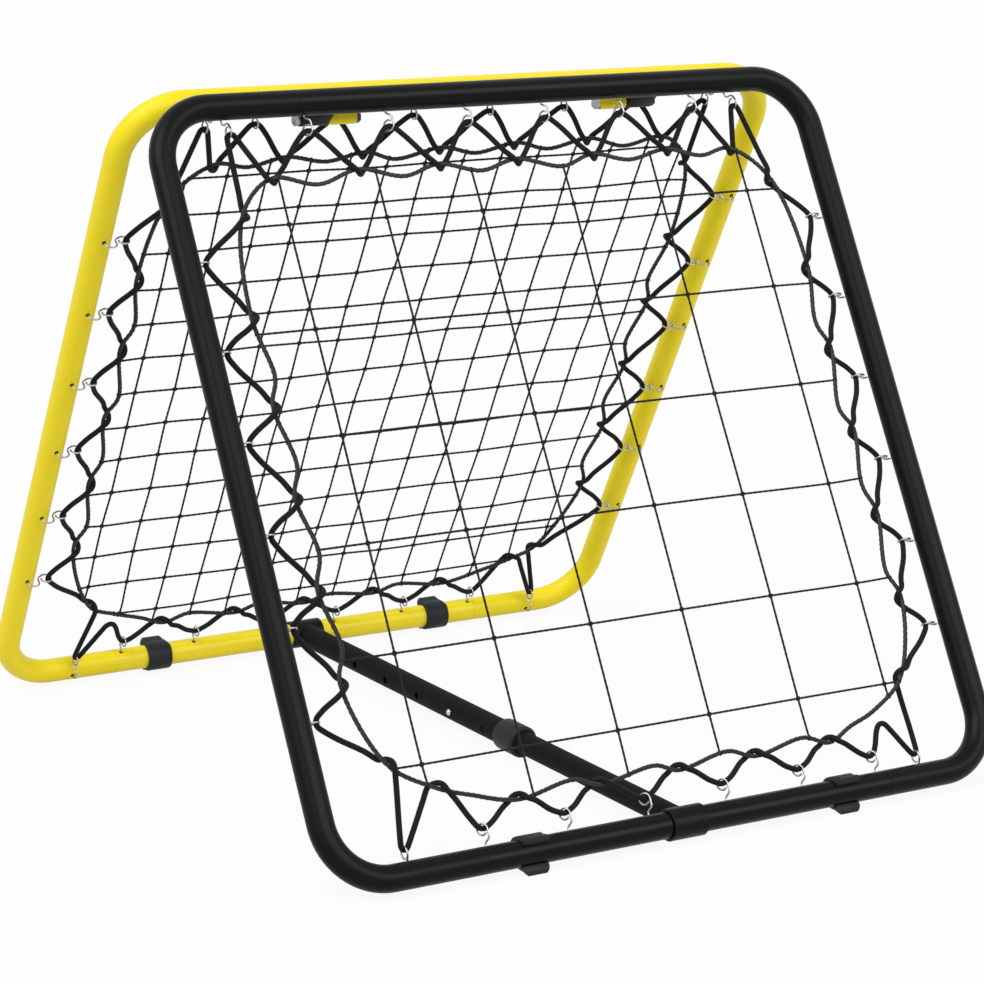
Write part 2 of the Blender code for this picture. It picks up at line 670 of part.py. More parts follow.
# Hinges
def make_knuckle(name, start, matrix, parent, look):
    """A hinge knuckle: a bolt barrel on a web that is saddled on the top tube."""
    axis = matrix.inverted() @ Vector((0, 0, HINGE_HEIGHT)) - ALONG * HALF_LENGTH
    heading = math.atan2(axis.z, axis.y)
    barrel = (math.hypot(axis.y, axis.z), 0)
    saddle = TUBE_RADIUS + SEAT_GAP
    outline = arc(saddle, SADDLE_HALF_ANGLE, -SADDLE_HALF_ANGLE, 4)
    outline += arc(KNUCKLE_RADIUS, -BARREL_HALF_ANGLE, BARREL_HALF_ANGLE, BOLT_SIDES, barrel)
    bore = circle(bore_radius(BOLT_DIAMETER / 2 + SEAT_GAP, BOLT_SIDES), BOLT_SIDES, barrel)
    knuckle = as_mesh(extruded(name + "_curve", [outline, bore], KNUCKLE_LENGTH), name, PARTS)
    section_axes = Matrix(((0, 0, 1, 0), (1, 0, 0, 0), (0, 1, 0, 0), (0, 0, 0, 1)))
    middle = matrix.inverted() @ Vector((start + KNUCKLE_LENGTH / 2, 0, 0))
    seat = Matrix.Translation((middle.x, HALF_LENGTH, 0))
    place = matrix @ seat @ section_axes @ Matrix.Rotation(heading, 4, "Z")
    finish_part(knuckle, look, place, parent)


def hexagon(name, outlines, start, height, collection):
    """A six-sided head or nut on the hinge line."""
    solid = as_mesh(extruded(name + "_curve", outlines, height), name, collection)
    place = Matrix.Translation((start + height / 2, 0, HINGE_HEIGHT))
    solid.matrix_world = place @ Matrix.Rotation(math.pi / 2, 4, "Y")
    return solid


def make_hinge(side_name, side):
    """Both knuckles, the bolt that joins them and its nut."""
    half_gap = KNUCKLE_GAP / 2
    outboard = side * HINGE_OFFSET + (half_gap if side > 0 else -half_gap - KNUCKLE_LENGTH)
    inboard = side * HINGE_OFFSET + (-half_gap - KNUCKLE_LENGTH if side > 0 else half_gap)
    make_knuckle("front_hinge_knuckle_" + side_name, outboard, FRONT, FRONT_PIVOT, BLACK_PAINT)
    make_knuckle("rear_hinge_knuckle_" + side_name, inboard, REAR, REAR_PIVOT, YELLOW_PAINT)
    head_start = min(outboard, inboard) - SEAT_GAP - BOLT_HEAD_HEIGHT
    nut_start = max(outboard, inboard) + KNUCKLE_LENGTH + SEAT_GAP
    shank = (
        Vector((head_start + BOLT_HEAD_HEIGHT / 2, 0, HINGE_HEIGHT)),
        Vector((nut_start + NUT_HEIGHT + BOLT_END, 0, HINGE_HEIGHT)),
    )
    bolt = bars("hinge_bolt_" + side_name, [shank], BOLT_DIAMETER / 2, BOLT_SIDES, PARTS)
    outline = circle(BOLT_HEAD_WIDTH / math.sqrt(3), 6)
    cut(bolt, hexagon("hinge_head_" + side_name, [outline], head_start, BOLT_HEAD_HEIGHT, CUTTERS), "UNION")
    finish_part(bolt, BRIGHT_STEEL, Matrix(), FRONT_PIVOT)
    bore = circle(bore_radius(BOLT_DIAMETER / 2 + SEAT_GAP, BOLT_SIDES), BOLT_SIDES)
    nut = hexagon("hinge_nut_" + side_name, [outline, bore], nut_start, NUT_HEIGHT, PARTS)
    finish_part(nut, BRIGHT_STEEL, nut.matrix_world.copy(), FRONT_PIVOT)


def make_frame(name, matrix, parent, look):
    """The four tubes of a frame and the two clip feet on its bottom tube."""
    facing = 1 if matrix is FRONT else -1
    make_middle_tube(name + "_top_tube", 1, matrix, parent, look)
    make_middle_tube(name + "_bottom_tube", -1, matrix, parent, look)
    for side_name, side in (("left", -1), ("right", 1)):
        local_side = side * facing
        make_side_tube(f"{name}_side_tube_{side_name}", local_side, matrix, parent, look)
        # Each foot sits midway between the last two hooks of the bottom tube
        inset = local_side * HOOK_PITCH * (MIDDLE_HOOKS - 2) / 2
        across = facing * (MIDDLE_TUBE_OFFSET + inset)
        place = (across, -facing * BOTTOM_AXIS_REACH, BOTTOM_AXIS_HEIGHT)
        make_foot(f"{name}_foot_{side_name}", place, 0 if facing > 0 else math.pi, parent)


# Strut
SLEEVE_BORE = bore_radius(TUBE_RADIUS + RUNNING_CLEARANCE, SLEEVE_SIDES)
SLEEVE_RADIUS = SLEEVE_BORE + SLEEVE_WALL


def make_sleeve(name, reach, parent):
    """The sleeve that turns on a bottom tube and carries one end of the strut."""
    ring = [circle(SLEEVE_RADIUS, SLEEVE_SIDES), circle(SLEEVE_BORE, SLEEVE_SIDES)]
    sleeve = as_mesh(extruded(name + "_curve", ring, SLEEVE_LENGTH), name, PARTS)
    place = Matrix.Translation((0, reach, BOTTOM_AXIS_HEIGHT)) @ Matrix.Rotation(math.pi / 2, 4, "Y")
    finish_part(sleeve, BLACK_PAINT, place, parent)


def make_strut_tube(name, sleeve_place, end, radius, wall, hole_places, parent):
    """A strut tube, coped to its sleeve at one end, with button holes in its left wall."""
    tube = open_tube(name, [ALONG * sleeve_place, ALONG * end], radius, wall)
    cope_radius = bore_radius(SLEEVE_RADIUS + SEAT_GAP, SLEEVE_SIDES)
    cope = (ALONG * sleeve_place - ACROSS * SLEEVE_LENGTH, ALONG * sleeve_place + ACROSS * SLEEVE_LENGTH)
    cut(tube, bars(name + "_cope", [cope], cope_radius, SLEEVE_SIDES, CUTTERS, STRUT_AXIS))
    drills = [
        (ALONG * place - ACROSS * (radius - 3 * wall), ALONG * place - ACROSS * (radius + wall))
        for place in hole_places
    ]
    cut(tube, bars(name + "_holes", drills, BUTTON_HOLE_RADIUS, BUTTON_SIDES, CUTTERS, STRUT_AXIS))
    finish_part(tube, BLACK_PAINT, STRUT_AXIS, parent)


def make_collar():
    """The guide collar on the outer tube's end, with a lip that steers the inner tube."""
    grip = bore_radius(TUBE_RADIUS + SEAT_GAP, COLLAR_SIDES)
    guide = bore_radius(STRUT_INNER_RADIUS + RUNNING_CLEARANCE, COLLAR_SIDES)
    radius = COLLAR_DIAMETER / 2
    top = COLLAR_LENGTH - COLLAR_LIP
    profile = [
        (radius - COLLAR_CHAMFER, top),
        (radius, top - COLLAR_CHAMFER),
        (radius, COLLAR_CHAMFER - COLLAR_LIP),
        (radius - COLLAR_CHAMFER, -COLLAR_LIP),
        (guide, -COLLAR_LIP),
        (guide, -SEAT_GAP),
        (grip, -SEAT_GAP),
        (grip, top),
    ]
    collar = turned("strut_collar", profile, COLLAR_SIDES, closed=True)
    place = Matrix.Translation((0, OUTER_TUBE_END, BOTTOM_AXIS_HEIGHT))
    finish_part(collar, DARK_PLASTIC, place @ Matrix.Rotation(-math.pi / 2, 4, "X"), OUTER_PIVOT)


def make_strut():
    """The outer tube with its row of holes, the inner tube that slides in it, and their ends."""
    first_hole = BUTTON_PLACE - STRUT_HOLES_AHEAD * STRUT_HOLE_PITCH
    hole_places = [first_hole + number * STRUT_HOLE_PITCH for number in range(STRUT_HOLES)]
    make_strut_tube(
        "strut_outer_tube", BOTTOM_AXIS_REACH, OUTER_TUBE_END, TUBE_RADIUS, TUBE_WALL, hole_places, OUTER_PIVOT
    )
    make_strut_tube(
        "strut_inner_tube",
        -BOTTOM_AXIS_REACH,
        BUTTON_PLACE + INNER_TUBE_OVERRUN,
        STRUT_INNER_RADIUS,
        STRUT_INNER_WALL,
        [BUTTON_PLACE],
        INNER_PIVOT,
    )
    make_sleeve("strut_rear_sleeve", BOTTOM_AXIS_REACH, OUTER_PIVOT)
    make_sleeve("strut_front_sleeve", -BOTTOM_AXIS_REACH, INNER_PIVOT)
    make_collar()


# Snap button: its axis points to the left, away from the middle of the tube
INNER_WALL_FLAT = (STRUT_INNER_RADIUS - STRUT_INNER_WALL) * TUBE_FLAT
FLANGE_FACE = math.sqrt(INNER_WALL_FLAT**2 - (FLANGE_DIAMETER / 2) ** 2) - SEAT_GAP
FLANGE_BACK = FLANGE_FACE - FLANGE_THICKNESS
BUTTON_CENTRE = Matrix.Translation((0, BUTTON_PLACE, BOTTOM_AXIS_HEIGHT))


def make_button():
    """The domed button with its flange against the inner tube's wall."""
    tip = TUBE_RADIUS + BUTTON_PROUD
    radius = BUTTON_DIAMETER / 2
    profile = [(0, tip)]
    for angle in (math.radians(30), math.radians(60), math.radians(90)):
        profile.append((radius * math.sin(angle), tip - BUTTON_DOME * (1 - math.cos(angle))))
    profile += [
        (radius, FLANGE_FACE),
        (FLANGE_DIAMETER / 2, FLANGE_FACE),
        (FLANGE_DIAMETER / 2, FLANGE_BACK),
        (0, FLANGE_BACK),
    ]
    button = turned("snap_button", profile, BUTTON_SIDES, closed=False)
    finish_part(button, BRIGHT_STEEL, BUTTON_CENTRE @ Matrix.Rotation(-math.pi / 2, 4, "Y"), BUTTON_PIVOT)


def make_button_spring():
    """The leaf spring: one leg behind the button, the other along the inner tube's far wall."""
    half = SPRING_THICKNESS / 2
    button_leg = SEAT_GAP + half - FLANGE_BACK
    wall_leg = math.sqrt(INNER_WALL_FLAT**2 - (SPRING_WIDTH / 2) ** 2) - SEAT_GAP - half
    front = FLANGE_DIAMETER / 2
    round_off = SPRING_BEND / 4
    line = [
        (button_leg, front),
        (button_leg, -front),
        (wall_leg - SPRING_BEND - round_off, -SPRING_LENGTH),
        (wall_leg - SPRING_BEND + round_off, -SPRING_LENGTH - SPRING_BEND_END),
        (wall_leg - round_off, -SPRING_LENGTH - SPRING_BEND_END),
        (wall_leg, -SPRING_LENGTH),
        (wall_leg, front),
    ]
    work = bmesh.new()
    lower = [work.verts.new((x, y, -SPRING_WIDTH / 2)) for x, y in line]
    upper = [work.verts.new((x, y, SPRING_WIDTH / 2)) for x, y in line]
    for index in range(len(line) - 1):
        work.faces.new((lower[index], lower[index + 1], upper[index + 1], upper[index]))
    mesh = bpy.data.meshes.new("button_spring")
    work.to_mesh(mesh)
    work.free()
    spring = add_object("button_spring", mesh, PARTS)
    leaf = spring.modifiers.new("leaf", "SOLIDIFY")
    leaf.thickness = SPRING_THICKNESS
    leaf.offset = 0
    leaf.use_even_offset = True
    finish_part(spring, SPRING_STEEL, BUTTON_CENTRE, INNER_PIVOT, smooth=False)


def make_front():
    rope = rope_route(FRONT_LOWER_WRAPS)
    make_frame("front", FRONT, FRONT_PIVOT, BLACK_PAINT)
    make_border_rope("front_border_rope", rope, FRONT, FRONT_PIVOT)
    make_lacing("front_bungee_with_hooks", FRONT_LOWER_WRAPS, rope, FRONT, FRONT_PIVOT)
    make_net(
        "front_net", FRONT_MESH_PITCH, FRONT_MESH_SHIFT, FRONT_TOP_TWINE_DROP, rope, FRONT, FRONT_PIVOT
    )


def make_rear():
    rope = rope_route(REAR_LOWER_WRAPS)
    make_frame("rear", REAR, REAR_PIVOT, YELLOW_PAINT)
    make_border_rope("rear_border_rope", rope, REAR, REAR_PIVOT)
    make_lacing("rear_bungee_with_hooks", REAR_LOWER_WRAPS, rope, REAR, REAR_PIVOT)
    make_net("rear_net", REAR_MESH_PITCH, REAR_MESH_SHIFT, REAR_TOP_TWINE_DROP, rope, REAR, REAR_PIVOT)


make_front()
make_rear()
make_hinge("left", -1)
make_hinge("right", 1)
make_strut()
make_button()
make_button_spring()
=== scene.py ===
"""Football rebounder: the finish of every surface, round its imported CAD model.

Round tubes with drilled holes, bent wire hooks, braided cords and knotted nets stand for the faceted nodes.
All lengths are in metres, +Z is up and +Y points to the rear. Each frame is drawn flat and then leaned: X
runs across, Y up the slope and Z out of its outer face, with the origin in its middle.
"""

from math import atan2, copysign, cos, floor, hypot, pi, radians, sin, sqrt
from types import SimpleNamespace

import bmesh
import bpy
import numpy as np
from mathutils import Matrix, Vector, noise


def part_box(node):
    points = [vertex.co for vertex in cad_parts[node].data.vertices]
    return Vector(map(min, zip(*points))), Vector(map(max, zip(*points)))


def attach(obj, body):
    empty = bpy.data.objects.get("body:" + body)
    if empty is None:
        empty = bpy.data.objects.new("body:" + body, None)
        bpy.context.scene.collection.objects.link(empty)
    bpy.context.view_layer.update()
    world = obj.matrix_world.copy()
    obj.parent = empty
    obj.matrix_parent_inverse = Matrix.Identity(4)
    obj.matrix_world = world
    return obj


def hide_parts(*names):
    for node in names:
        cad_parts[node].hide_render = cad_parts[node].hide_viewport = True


# One seed for all that is left to chance, so that each run gives the same meshes
CHANCE_SEED = 7
noise.seed_set(CHANCE_SEED)

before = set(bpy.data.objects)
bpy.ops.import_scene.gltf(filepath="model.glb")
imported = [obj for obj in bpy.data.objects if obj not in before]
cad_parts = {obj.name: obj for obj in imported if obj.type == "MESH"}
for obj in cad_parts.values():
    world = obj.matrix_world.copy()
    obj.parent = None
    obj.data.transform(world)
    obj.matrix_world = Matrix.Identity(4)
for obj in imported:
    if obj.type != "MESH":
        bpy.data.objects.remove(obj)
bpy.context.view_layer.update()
bpy.ops.object.select_all(action="DESELECT")

# Camera, fitted to the photograph
CAMERA_PLACE = (-1.7917, -3.0164, 1.0840)
CAMERA_HEADING = radians(30.99)
CAMERA_TILT = radians(12.83)
CAMERA_ROLL = radians(0.41)
FOCAL_LENGTH_PIXELS = 3208
PICTURE_PIXELS = 984
SENSOR_WIDTH = 36.0
FARTHEST_VIEW = 200

# Studio
SKY_LIGHT = 0.30
FLOOR_CLARITY = 0.92
FLOOR_GREY = 0.75
FLOOR_SIZE = 120
FLOOR_DROP = 0.0005

# Frame tubes
FRAME_WIDTH = 0.812
TUBE_RADIUS = 0.014
TUBE_WALL = 0.001
BEND_RADIUS = 0.064
SPIGOT_LENGTH = 0.040
SPIGOT_CLEARANCE = 0.0004
SPIGOT_TAPER = 0.0002
TAPER_BULGE = 0.01
SEAT_GAP = 0.0003
SEAM_GAP = 0.00004
EDGE_ROUND = 0.0004

# Hooks
HOOK_PITCH = 0.097
MIDDLE_HOOKS = 6
SIDE_HOOKS = 6
CORNER_HOOK_INSET = 0.088
HOOK_HOLE_RADIUS = 0.0025
WIRE_RADIUS = 0.00105
SIDE_RING_RADIUS = 0.0064
MIDDLE_RING_RADIUS = 0.0058
HOOK_ROOT_DEPTH = 0.003
HOOK_CURL_RADIUS = 0.0036
HOOK_TIP_LENGTH = 0.0006
HOOK_TIP_SHARE = 0.55
SIDE_EYE = Vector((0.0266, -0.0112))
MIDDLE_EYE = Vector((0.0319, 0.0))

# Nets
TWINE_RADIUS = 0.0014
TWINE_TURNS = 71
TWINE_PLIES = 2
TWINE_PLY_DEPTH = 0.0003
TWINE_STEP = 0.00175
NET_WAVE_PITCHES = 2.2
NET_RISE_SHARE = 0.6
KNOT_POINTS = 20
KNOT_REACH = 0.0033
KNOT_LOOP_MIDDLE = 0.48
KNOT_LOOP_SPREAD = 0.22
KNOT_STRAND_RADIUS = 0.00105
HITCH_RADIUS = 0.0005

# Border rope and elastic cord
ROPE_RADIUS = 0.0025
ROPE_SLACK = 0.011
ROPE_SLACK_MIDDLE = 0.94
ROPE_SLACK_SPREAD = 0.3
ROPE_LOWEST_PLACE = 0.68
ROPE_LOWEST_SPREAD = 0.14
ROPE_TURNS = 55
ROPE_PLIES = 3
ROPE_PLY_DEPTH = 0.0004
ROPE_FLUFF = 0.00012
ROPE_STEP = 0.0014
# The slow variation of slack and sway, in noise cells a metre
CHANCE_SCALE = 40
# How often a smooth curve is read between two points of its route
READINGS = 12
CORD_RADIUS = 0.003
TIGHTEST_BEND = 0.0032
WIDEST_BEND = 0.0155
CORD_SWAY = 0.028
CORD_SWAY_SPREAD = 0.8
CORD_SWAY_PLACES = (0.27, 0.75)
CORD_STEP = 0.002
NET_SIDE_GAP = 0.057
NET_TOP_GAP = 0.078
NET_BOTTOM_GAP = 0.054
SIDE_WRAP_DROP = 0.015
WRAP_CLEARANCE = 0.0001
WRAP_RUN = 0.016
WRAP_POINTS = 7
TOP_CORNER_WRAP = (0.018, 0.042)
TOP_END_WRAP = (0.061, 0.004)
LOWER_FREE_TURN = (0.073, 0.010)
ROPE_LOWER_CORNER = [(0.077, 0.0255), (0.113, 0.013)]

# Clip feet
FOOT_WIDTH = 0.030
FOOT_WALL = 0.0035
FOOT_LIP_STEP = 0.0022
FOOT_LIP_THICKNESS = 0.003
FOOT_LIP_WIDTH = 0.0045
FOOT_CHAMFER = 0.004
FOOT_MOUTH_HALF_ANGLE = radians(48)
FOOT_LIP_ROOT_ANGLE = radians(76)

# Hinges
HINGE_DROP = 0.021
HINGE_OFFSET = 0.1883
KNUCKLE_LENGTH = 0.033
KNUCKLE_RADIUS = 0.0072
KNUCKLE_GAP = 0.0006
SADDLE_HALF_ANGLE = radians(24)
BARREL_HALF_ANGLE = radians(100)
BOLT_RADIUS = 0.0039
BOLT_HEAD_WIDTH = 0.0115
BOLT_HEAD_HEIGHT = 0.0055
NUT_HEIGHT = 0.005
BOLT_END = 0.0014
BOLT_LEAD = 0.0008
HEXAGON_TURNED_SHARE = 0.93
HEXAGON_CHAMFER_SHARE = 0.12

# Strut
SLEEVE_LENGTH = 0.042
SLEEVE_CLEARANCE = 0.0004
SLEEVE_WALL = 0.0026
STRUT_OUTER_LENGTH = 0.5216
STRUT_INNER_RADIUS = 0.01275
STRUT_HOLE_PITCH = 0.0755
STRUT_HOLES = 5
BUTTON_INSET = 0.1365
INNER_TUBE_OVERRUN = 0.025
COLLAR_LENGTH = 0.040
COLLAR_RADIUS = 0.018
COLLAR_LIP = 0.006
COLLAR_CHAMFER = 0.002
BUTTON_RADIUS = 0.0037
BUTTON_HOLE_CLEARANCE = 0.0005
BUTTON_PROUD = 0.0026
BUTTON_DOME = 0.0028
BUTTON_DOME_ANGLES = (0, 0.3, 0.6, 0.9, 1.2, 1.45)
FLANGE_RADIUS = 0.0048
FLANGE_THICKNESS = 0.0014

# Sides round each piece, and angles that decide its shading
TUBE_SIDES = 48
BOLT_SIDES = 32
BUTTON_HOLE_SIDES = 28
HOOK_HOLE_SIDES = 20
WIRE_SIDES = 12
CORD_SIDES = 14
ROPE_SIDES = 16
SHARP_ANGLE = radians(40)
SMOOTH_ANGLE = radians(35)
SMOOTH_WIRE_ANGLE = radians(60)
FLAT_ANGLE = radians(0.5)
WELD_DISTANCE = 1e-6

ACROSS = Vector((1, 0, 0))
ALONG = Vector((0, 1, 0))
OUT = Vector((0, 0, 1))


def middle_of(node):
    low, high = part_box(node)
    return (low + high) / 2


FRONT_TOP, FRONT_BOTTOM = middle_of("front_top_tube"), middle_of("front_bottom_tube")
FRAME_LENGTH = (FRONT_TOP - FRONT_BOTTOM).length
HALF_WIDTH, HALF_LENGTH = FRAME_WIDTH / 2, FRAME_LENGTH / 2
MIDDLE_LEFT, MIDDLE_RIGHT = (corner.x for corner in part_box("front_top_tube"))
MIDDLE_TUBE_OFFSET = (MIDDLE_LEFT + MIDDLE_RIGHT) / 2
NET_HALF_WIDTH = HALF_WIDTH - NET_SIDE_GAP
NET_TOP_EDGE = HALF_LENGTH - NET_TOP_GAP
NET_BOTTOM_EDGE = HALF_LENGTH - NET_BOTTOM_GAP
BOTTOM_REACH, BOTTOM_HEIGHT = -FRONT_BOTTOM.y, FRONT_BOTTOM.z
HINGE_HEIGHT = FRONT_TOP.z - HINGE_DROP
OUTER_TUBE_END = BOTTOM_REACH - STRUT_OUTER_LENGTH
BUTTON_PLACE = OUTER_TUBE_END + BUTTON_INSET


def half_turn(facing):
    """About Z for the rear frame, which faces the other way, and none for the front one."""
    return Matrix.Diagonal((facing, facing, 1, 1))


def frame_matrix(facing):
    """From a frame's flat drawing to its place."""
    slope = (FRONT_TOP - FRONT_BOTTOM) / FRAME_LENGTH
    slope.x = 0
    middle = (FRONT_TOP + FRONT_BOTTOM) / 2
    lean = Matrix((ACROSS, slope, ACROSS.cross(slope))).transposed().to_4x4()
    return half_turn(facing) @ Matrix.Translation((0, middle.y, middle.z)) @ lean


# Materials
MIX_INPUTS = (0, 6, 7)  # the share and the two colours
MIX_RESULT = 2


class Signal:
    """A socket of a node tree. Sums and products of signals add their Math nodes."""

    def __init__(self, board, socket):
        self.board = board
        self.socket = socket

    def math(self, operation, first, second=0.0):
        return self.board.node("Math", {"operation": operation}, first, second)

    def __add__(self, other):
        return self.math("ADD", self, other)

    def __sub__(self, other):
        return self.math("SUBTRACT", self, other)

    def __rsub__(self, other):
        return self.math("SUBTRACT", other, self)

    def __mul__(self, other):
        return self.math("MULTIPLY", self, other)

    __radd__ = __add__
    __rmul__ = __mul__

    def sine(self):
        return self.math("SINE", self)

    def absolute(self):
        return self.math("ABSOLUTE", self)

    def largest(self, other):
        return self.math("MAXIMUM", self, other)


class Board:
    """The node tree of a material or of the world."""

    def __init__(self, owner):
        owner.use_nodes = True
        self.tree = owner.node_tree

    def node(self, kind, settings=None, *values, output=0, **named):
        made = self.tree.nodes.new("ShaderNode" + kind)
        for key, value in (settings or {}).items():
            setattr(made, key, value)
        for socket, value in [*enumerate(values), *named.items()]:
            self.feed(made.inputs[socket], value)
        return Signal(self, made.outputs[output])

    def feed(self, socket, value):
        if isinstance(value, Signal):
            self.tree.links.new(value.socket, socket)
        else:
            socket.default_value = value

    def seen_directly(self):
        """One for what the camera sees, also in metal and glass, and nought for other light."""
        path = self.node("LightPath").socket.node.outputs
        seen = Signal(self, path["Is Camera Ray"]).largest(Signal(self, path["Is Glossy Ray"]))
        return seen.largest(Signal(self, path["Is Transmission Ray"]))


class Look(Board):
    """A material built on a Principled shader."""

    def __init__(self, name, **constants):
        self.material = bpy.data.materials.new(name)
        super().__init__(self.material)
        self.shader = self.tree.nodes["Principled BSDF"]
        for socket, value in constants.items():
            self.shader.inputs[socket.replace("_", " ")].default_value = value

    def drive(self, name, value):
        self.feed(self.shader.inputs[name], value)

    def noise(self, scale, detail=2.0, rough=0.5):
        """Noise in the object's own coordinates, from 0 to 1."""
        place = self.node("TexCoord", output="Object")
        return self.node("TexNoise", {}, Vector=place, Scale=scale, Detail=detail, Roughness=rough)

    def tint(self, share, first, second):
        """Base colour from one to another, by a share from 0 to 1."""
        mix = self.node("Mix", {"data_type": "RGBA", "clamp_factor": True}, output=MIX_RESULT)
        for socket, value in zip(MIX_INPUTS, (share, (*first, 1), (*second, 1))):
            self.feed(mix.socket.node.inputs[socket], value)
        self.drive("Base Color", mix)

    def roughness(self, share, middle, spread):
        """Roughness about its middle value, by a share from 0 to 1."""
        self.drive("Roughness", share * spread + (middle - spread / 2))

    def bump(self, height, distance, strength=1.0):
        self.drive("Normal", self.node("Bump", {}, Height=height, Distance=distance, Strength=strength))

    def lay(self):
        """The sweep's own map: a turn round the strand, and metres along it."""
        both = self.node("SeparateXYZ", {}, self.node("UVMap", {"uv_map": "lay"}))
        split = both.socket.node.outputs
        return Signal(self, split["X"]), Signal(self, split["Y"])


def painted_steel(name, colour, deep_colour, roughness, gloss):
    """Powder coat: a faint orange peel, with its gloss and tone a little uneven."""
    look = Look(name, Specular_IOR_Level=gloss)
    look.tint(look.noise(scale=9), deep_colour, colour)
    look.roughness(look.noise(scale=60), roughness, spread=0.10)
    look.bump(look.noise(scale=520, detail=3), distance=0.00012, strength=0.2)
    return look


def moulded_plastic(name, colour, worn_colour, roughness):
    """Fine spark-eroded grain."""
    look = Look(name, Specular_IOR_Level=0.14)
    look.tint(look.noise(scale=40, detail=4), colour, worn_colour)
    look.roughness(look.noise(scale=200), roughness, spread=0.15)
    look.bump(look.noise(scale=1500), distance=0.0001, strength=0.5)
    return look


def plated_steel(name, colour, roughness, dull_share=0.72):
    """Bright zinc on drawn steel, with cloudy tone and gloss."""
    look = Look(name, Metallic=1.0)
    look.tint(look.noise(scale=180, detail=3), [dull_share * part for part in colour], colour)
    look.roughness(look.noise(scale=700), roughness, spread=0.14)
    look.bump(look.noise(scale=2200), distance=0.00004, strength=0.4)
    return look


def braided(name, yarns, pitch, colour, fleck_and_highlight, roughness, relief):
    """A braid: two sets of yarns wind opposite ways, and cross over and under. Their crests are tinted
    lighter: a painted highlight, broken up by random yarn tone.
    """
    look = Look(name, Specular_IOR_Level=0.06, Sheen_Weight=0.02, Sheen_Roughness=0.5)
    turn, length = look.lay()
    around, along = turn * (2 * pi * yarns), length * (2 * pi / pitch)
    weave = ((around + along).sine() * (around - along).sine()).absolute()
    yarn_tone = look.noise(scale=900)
    # Painted highlight: the weave's crests take the lighter colour, in random flecks.
    look.tint(weave * yarn_tone, colour, fleck_and_highlight)
    look.roughness(yarn_tone, roughness, spread=0.2)
    look.bump(weave, relief)
    return look


def twisted(name, turns, plies, colour, fleck_and_highlight, roughness, relief, fluff_share=0.6):
    """Laid strands: each ply shows as a slanting ridge, whose crest is tinted lighter as a painted
    highlight, broken up by random fluff.
    """
    look = Look(name, Specular_IOR_Level=0.08, Sheen_Weight=0.04, Sheen_Roughness=0.6)
    turn, length = look.lay()
    ridge = ((turn * plies + length * (turns * plies)) * pi).sine().absolute()
    fluff = look.noise(scale=1400, detail=3, rough=0.7)
    # Painted highlight: each ply's crest takes the lighter colour where the fluff noise is high.
    look.tint(ridge * fluff, colour, fleck_and_highlight)
    look.roughness(fluff, roughness, spread=0.2)
    look.bump(ridge + fluff * fluff_share, relief)
    return look


BLACK, DEEP_BLACK = (0.0028, 0.0031, 0.0034), (0.0020, 0.0022, 0.0024)
YELLOW, DEEP_YELLOW = (0.82, 0.662, 0.013), (0.78, 0.625, 0.010)
STRUT_BLACK, DEEP_STRUT_BLACK = (0.0086, 0.0088, 0.0088), (0.0068, 0.0070, 0.0070)
BLACK_PAINT = painted_steel("satin_black_coat", BLACK, DEEP_BLACK, roughness=0.36, gloss=0.10)
YELLOW_PAINT = painted_steel("satin_yellow_coat", YELLOW, DEEP_YELLOW, roughness=0.36, gloss=0.20)
# The middle tubes shine more than the side tubes in the photograph
BLACK_GLOSS = painted_steel("glossier_black_coat", BLACK, DEEP_BLACK, roughness=0.29, gloss=0.10)
YELLOW_GLOSS = painted_steel("glossier_yellow_coat", YELLOW, DEEP_YELLOW, roughness=0.28, gloss=0.24)
STRUT_PAINT = painted_steel("strut_black_coat", STRUT_BLACK, DEEP_STRUT_BLACK, roughness=0.62, gloss=0.04)
PLASTIC = moulded_plastic(
    "dark_clip_plastic", colour=(0.011, 0.0135, 0.0142), worn_colour=(0.017, 0.0202, 0.021), roughness=0.495
)
WIRE_STEEL = plated_steel("hook_wire_zinc", colour=(0.40, 0.40, 0.395), roughness=0.26)
BOLT_STEEL = plated_steel("bolt_zinc", colour=(0.42, 0.42, 0.42), roughness=0.30)
# Painted shade: the nut is coloured far darker than the bolt's zinc, for its end that lies in shadow.
SHADED_NUT_STEEL = plated_steel("painted_shade_nut_steel", colour=(0.07, 0.07, 0.072), roughness=0.38)
BUTTON_STEEL = plated_steel("button_zinc", colour=(0.62, 0.62, 0.61), roughness=0.30)
SPRING_STEEL = plated_steel("button_spring_steel", colour=(0.30, 0.30, 0.31), roughness=0.38)
# The cord cover's lighter colour is a painted highlight on the crests of its weave.
CORD_COVER = braided(
    "elastic_cord_cover", yarns=8, pitch=0.0052, colour=(0.0042, 0.0046, 0.0045),
    fleck_and_highlight=(0.034, 0.0365, 0.0355), roughness=0.62, relief=0.00025,
)
# The rope's and the twine's lighter colours are painted highlights on the crests of their plies.
ROPE_YARN = twisted(
    "border_rope_yarn", ROPE_TURNS, plies=ROPE_PLIES, colour=(0.017, 0.0183, 0.0179),
    fleck_and_highlight=(0.067, 0.071, 0.069), roughness=0.86, relief=0.0003,
)
NET_TWINE = twisted(
    "net_twine_yarn", TWINE_TURNS, plies=TWINE_PLIES, colour=(0.0045, 0.0048, 0.0047),
    fleck_and_highlight=(0.030, 0.031, 0.031), roughness=0.75, relief=0.0002,
)

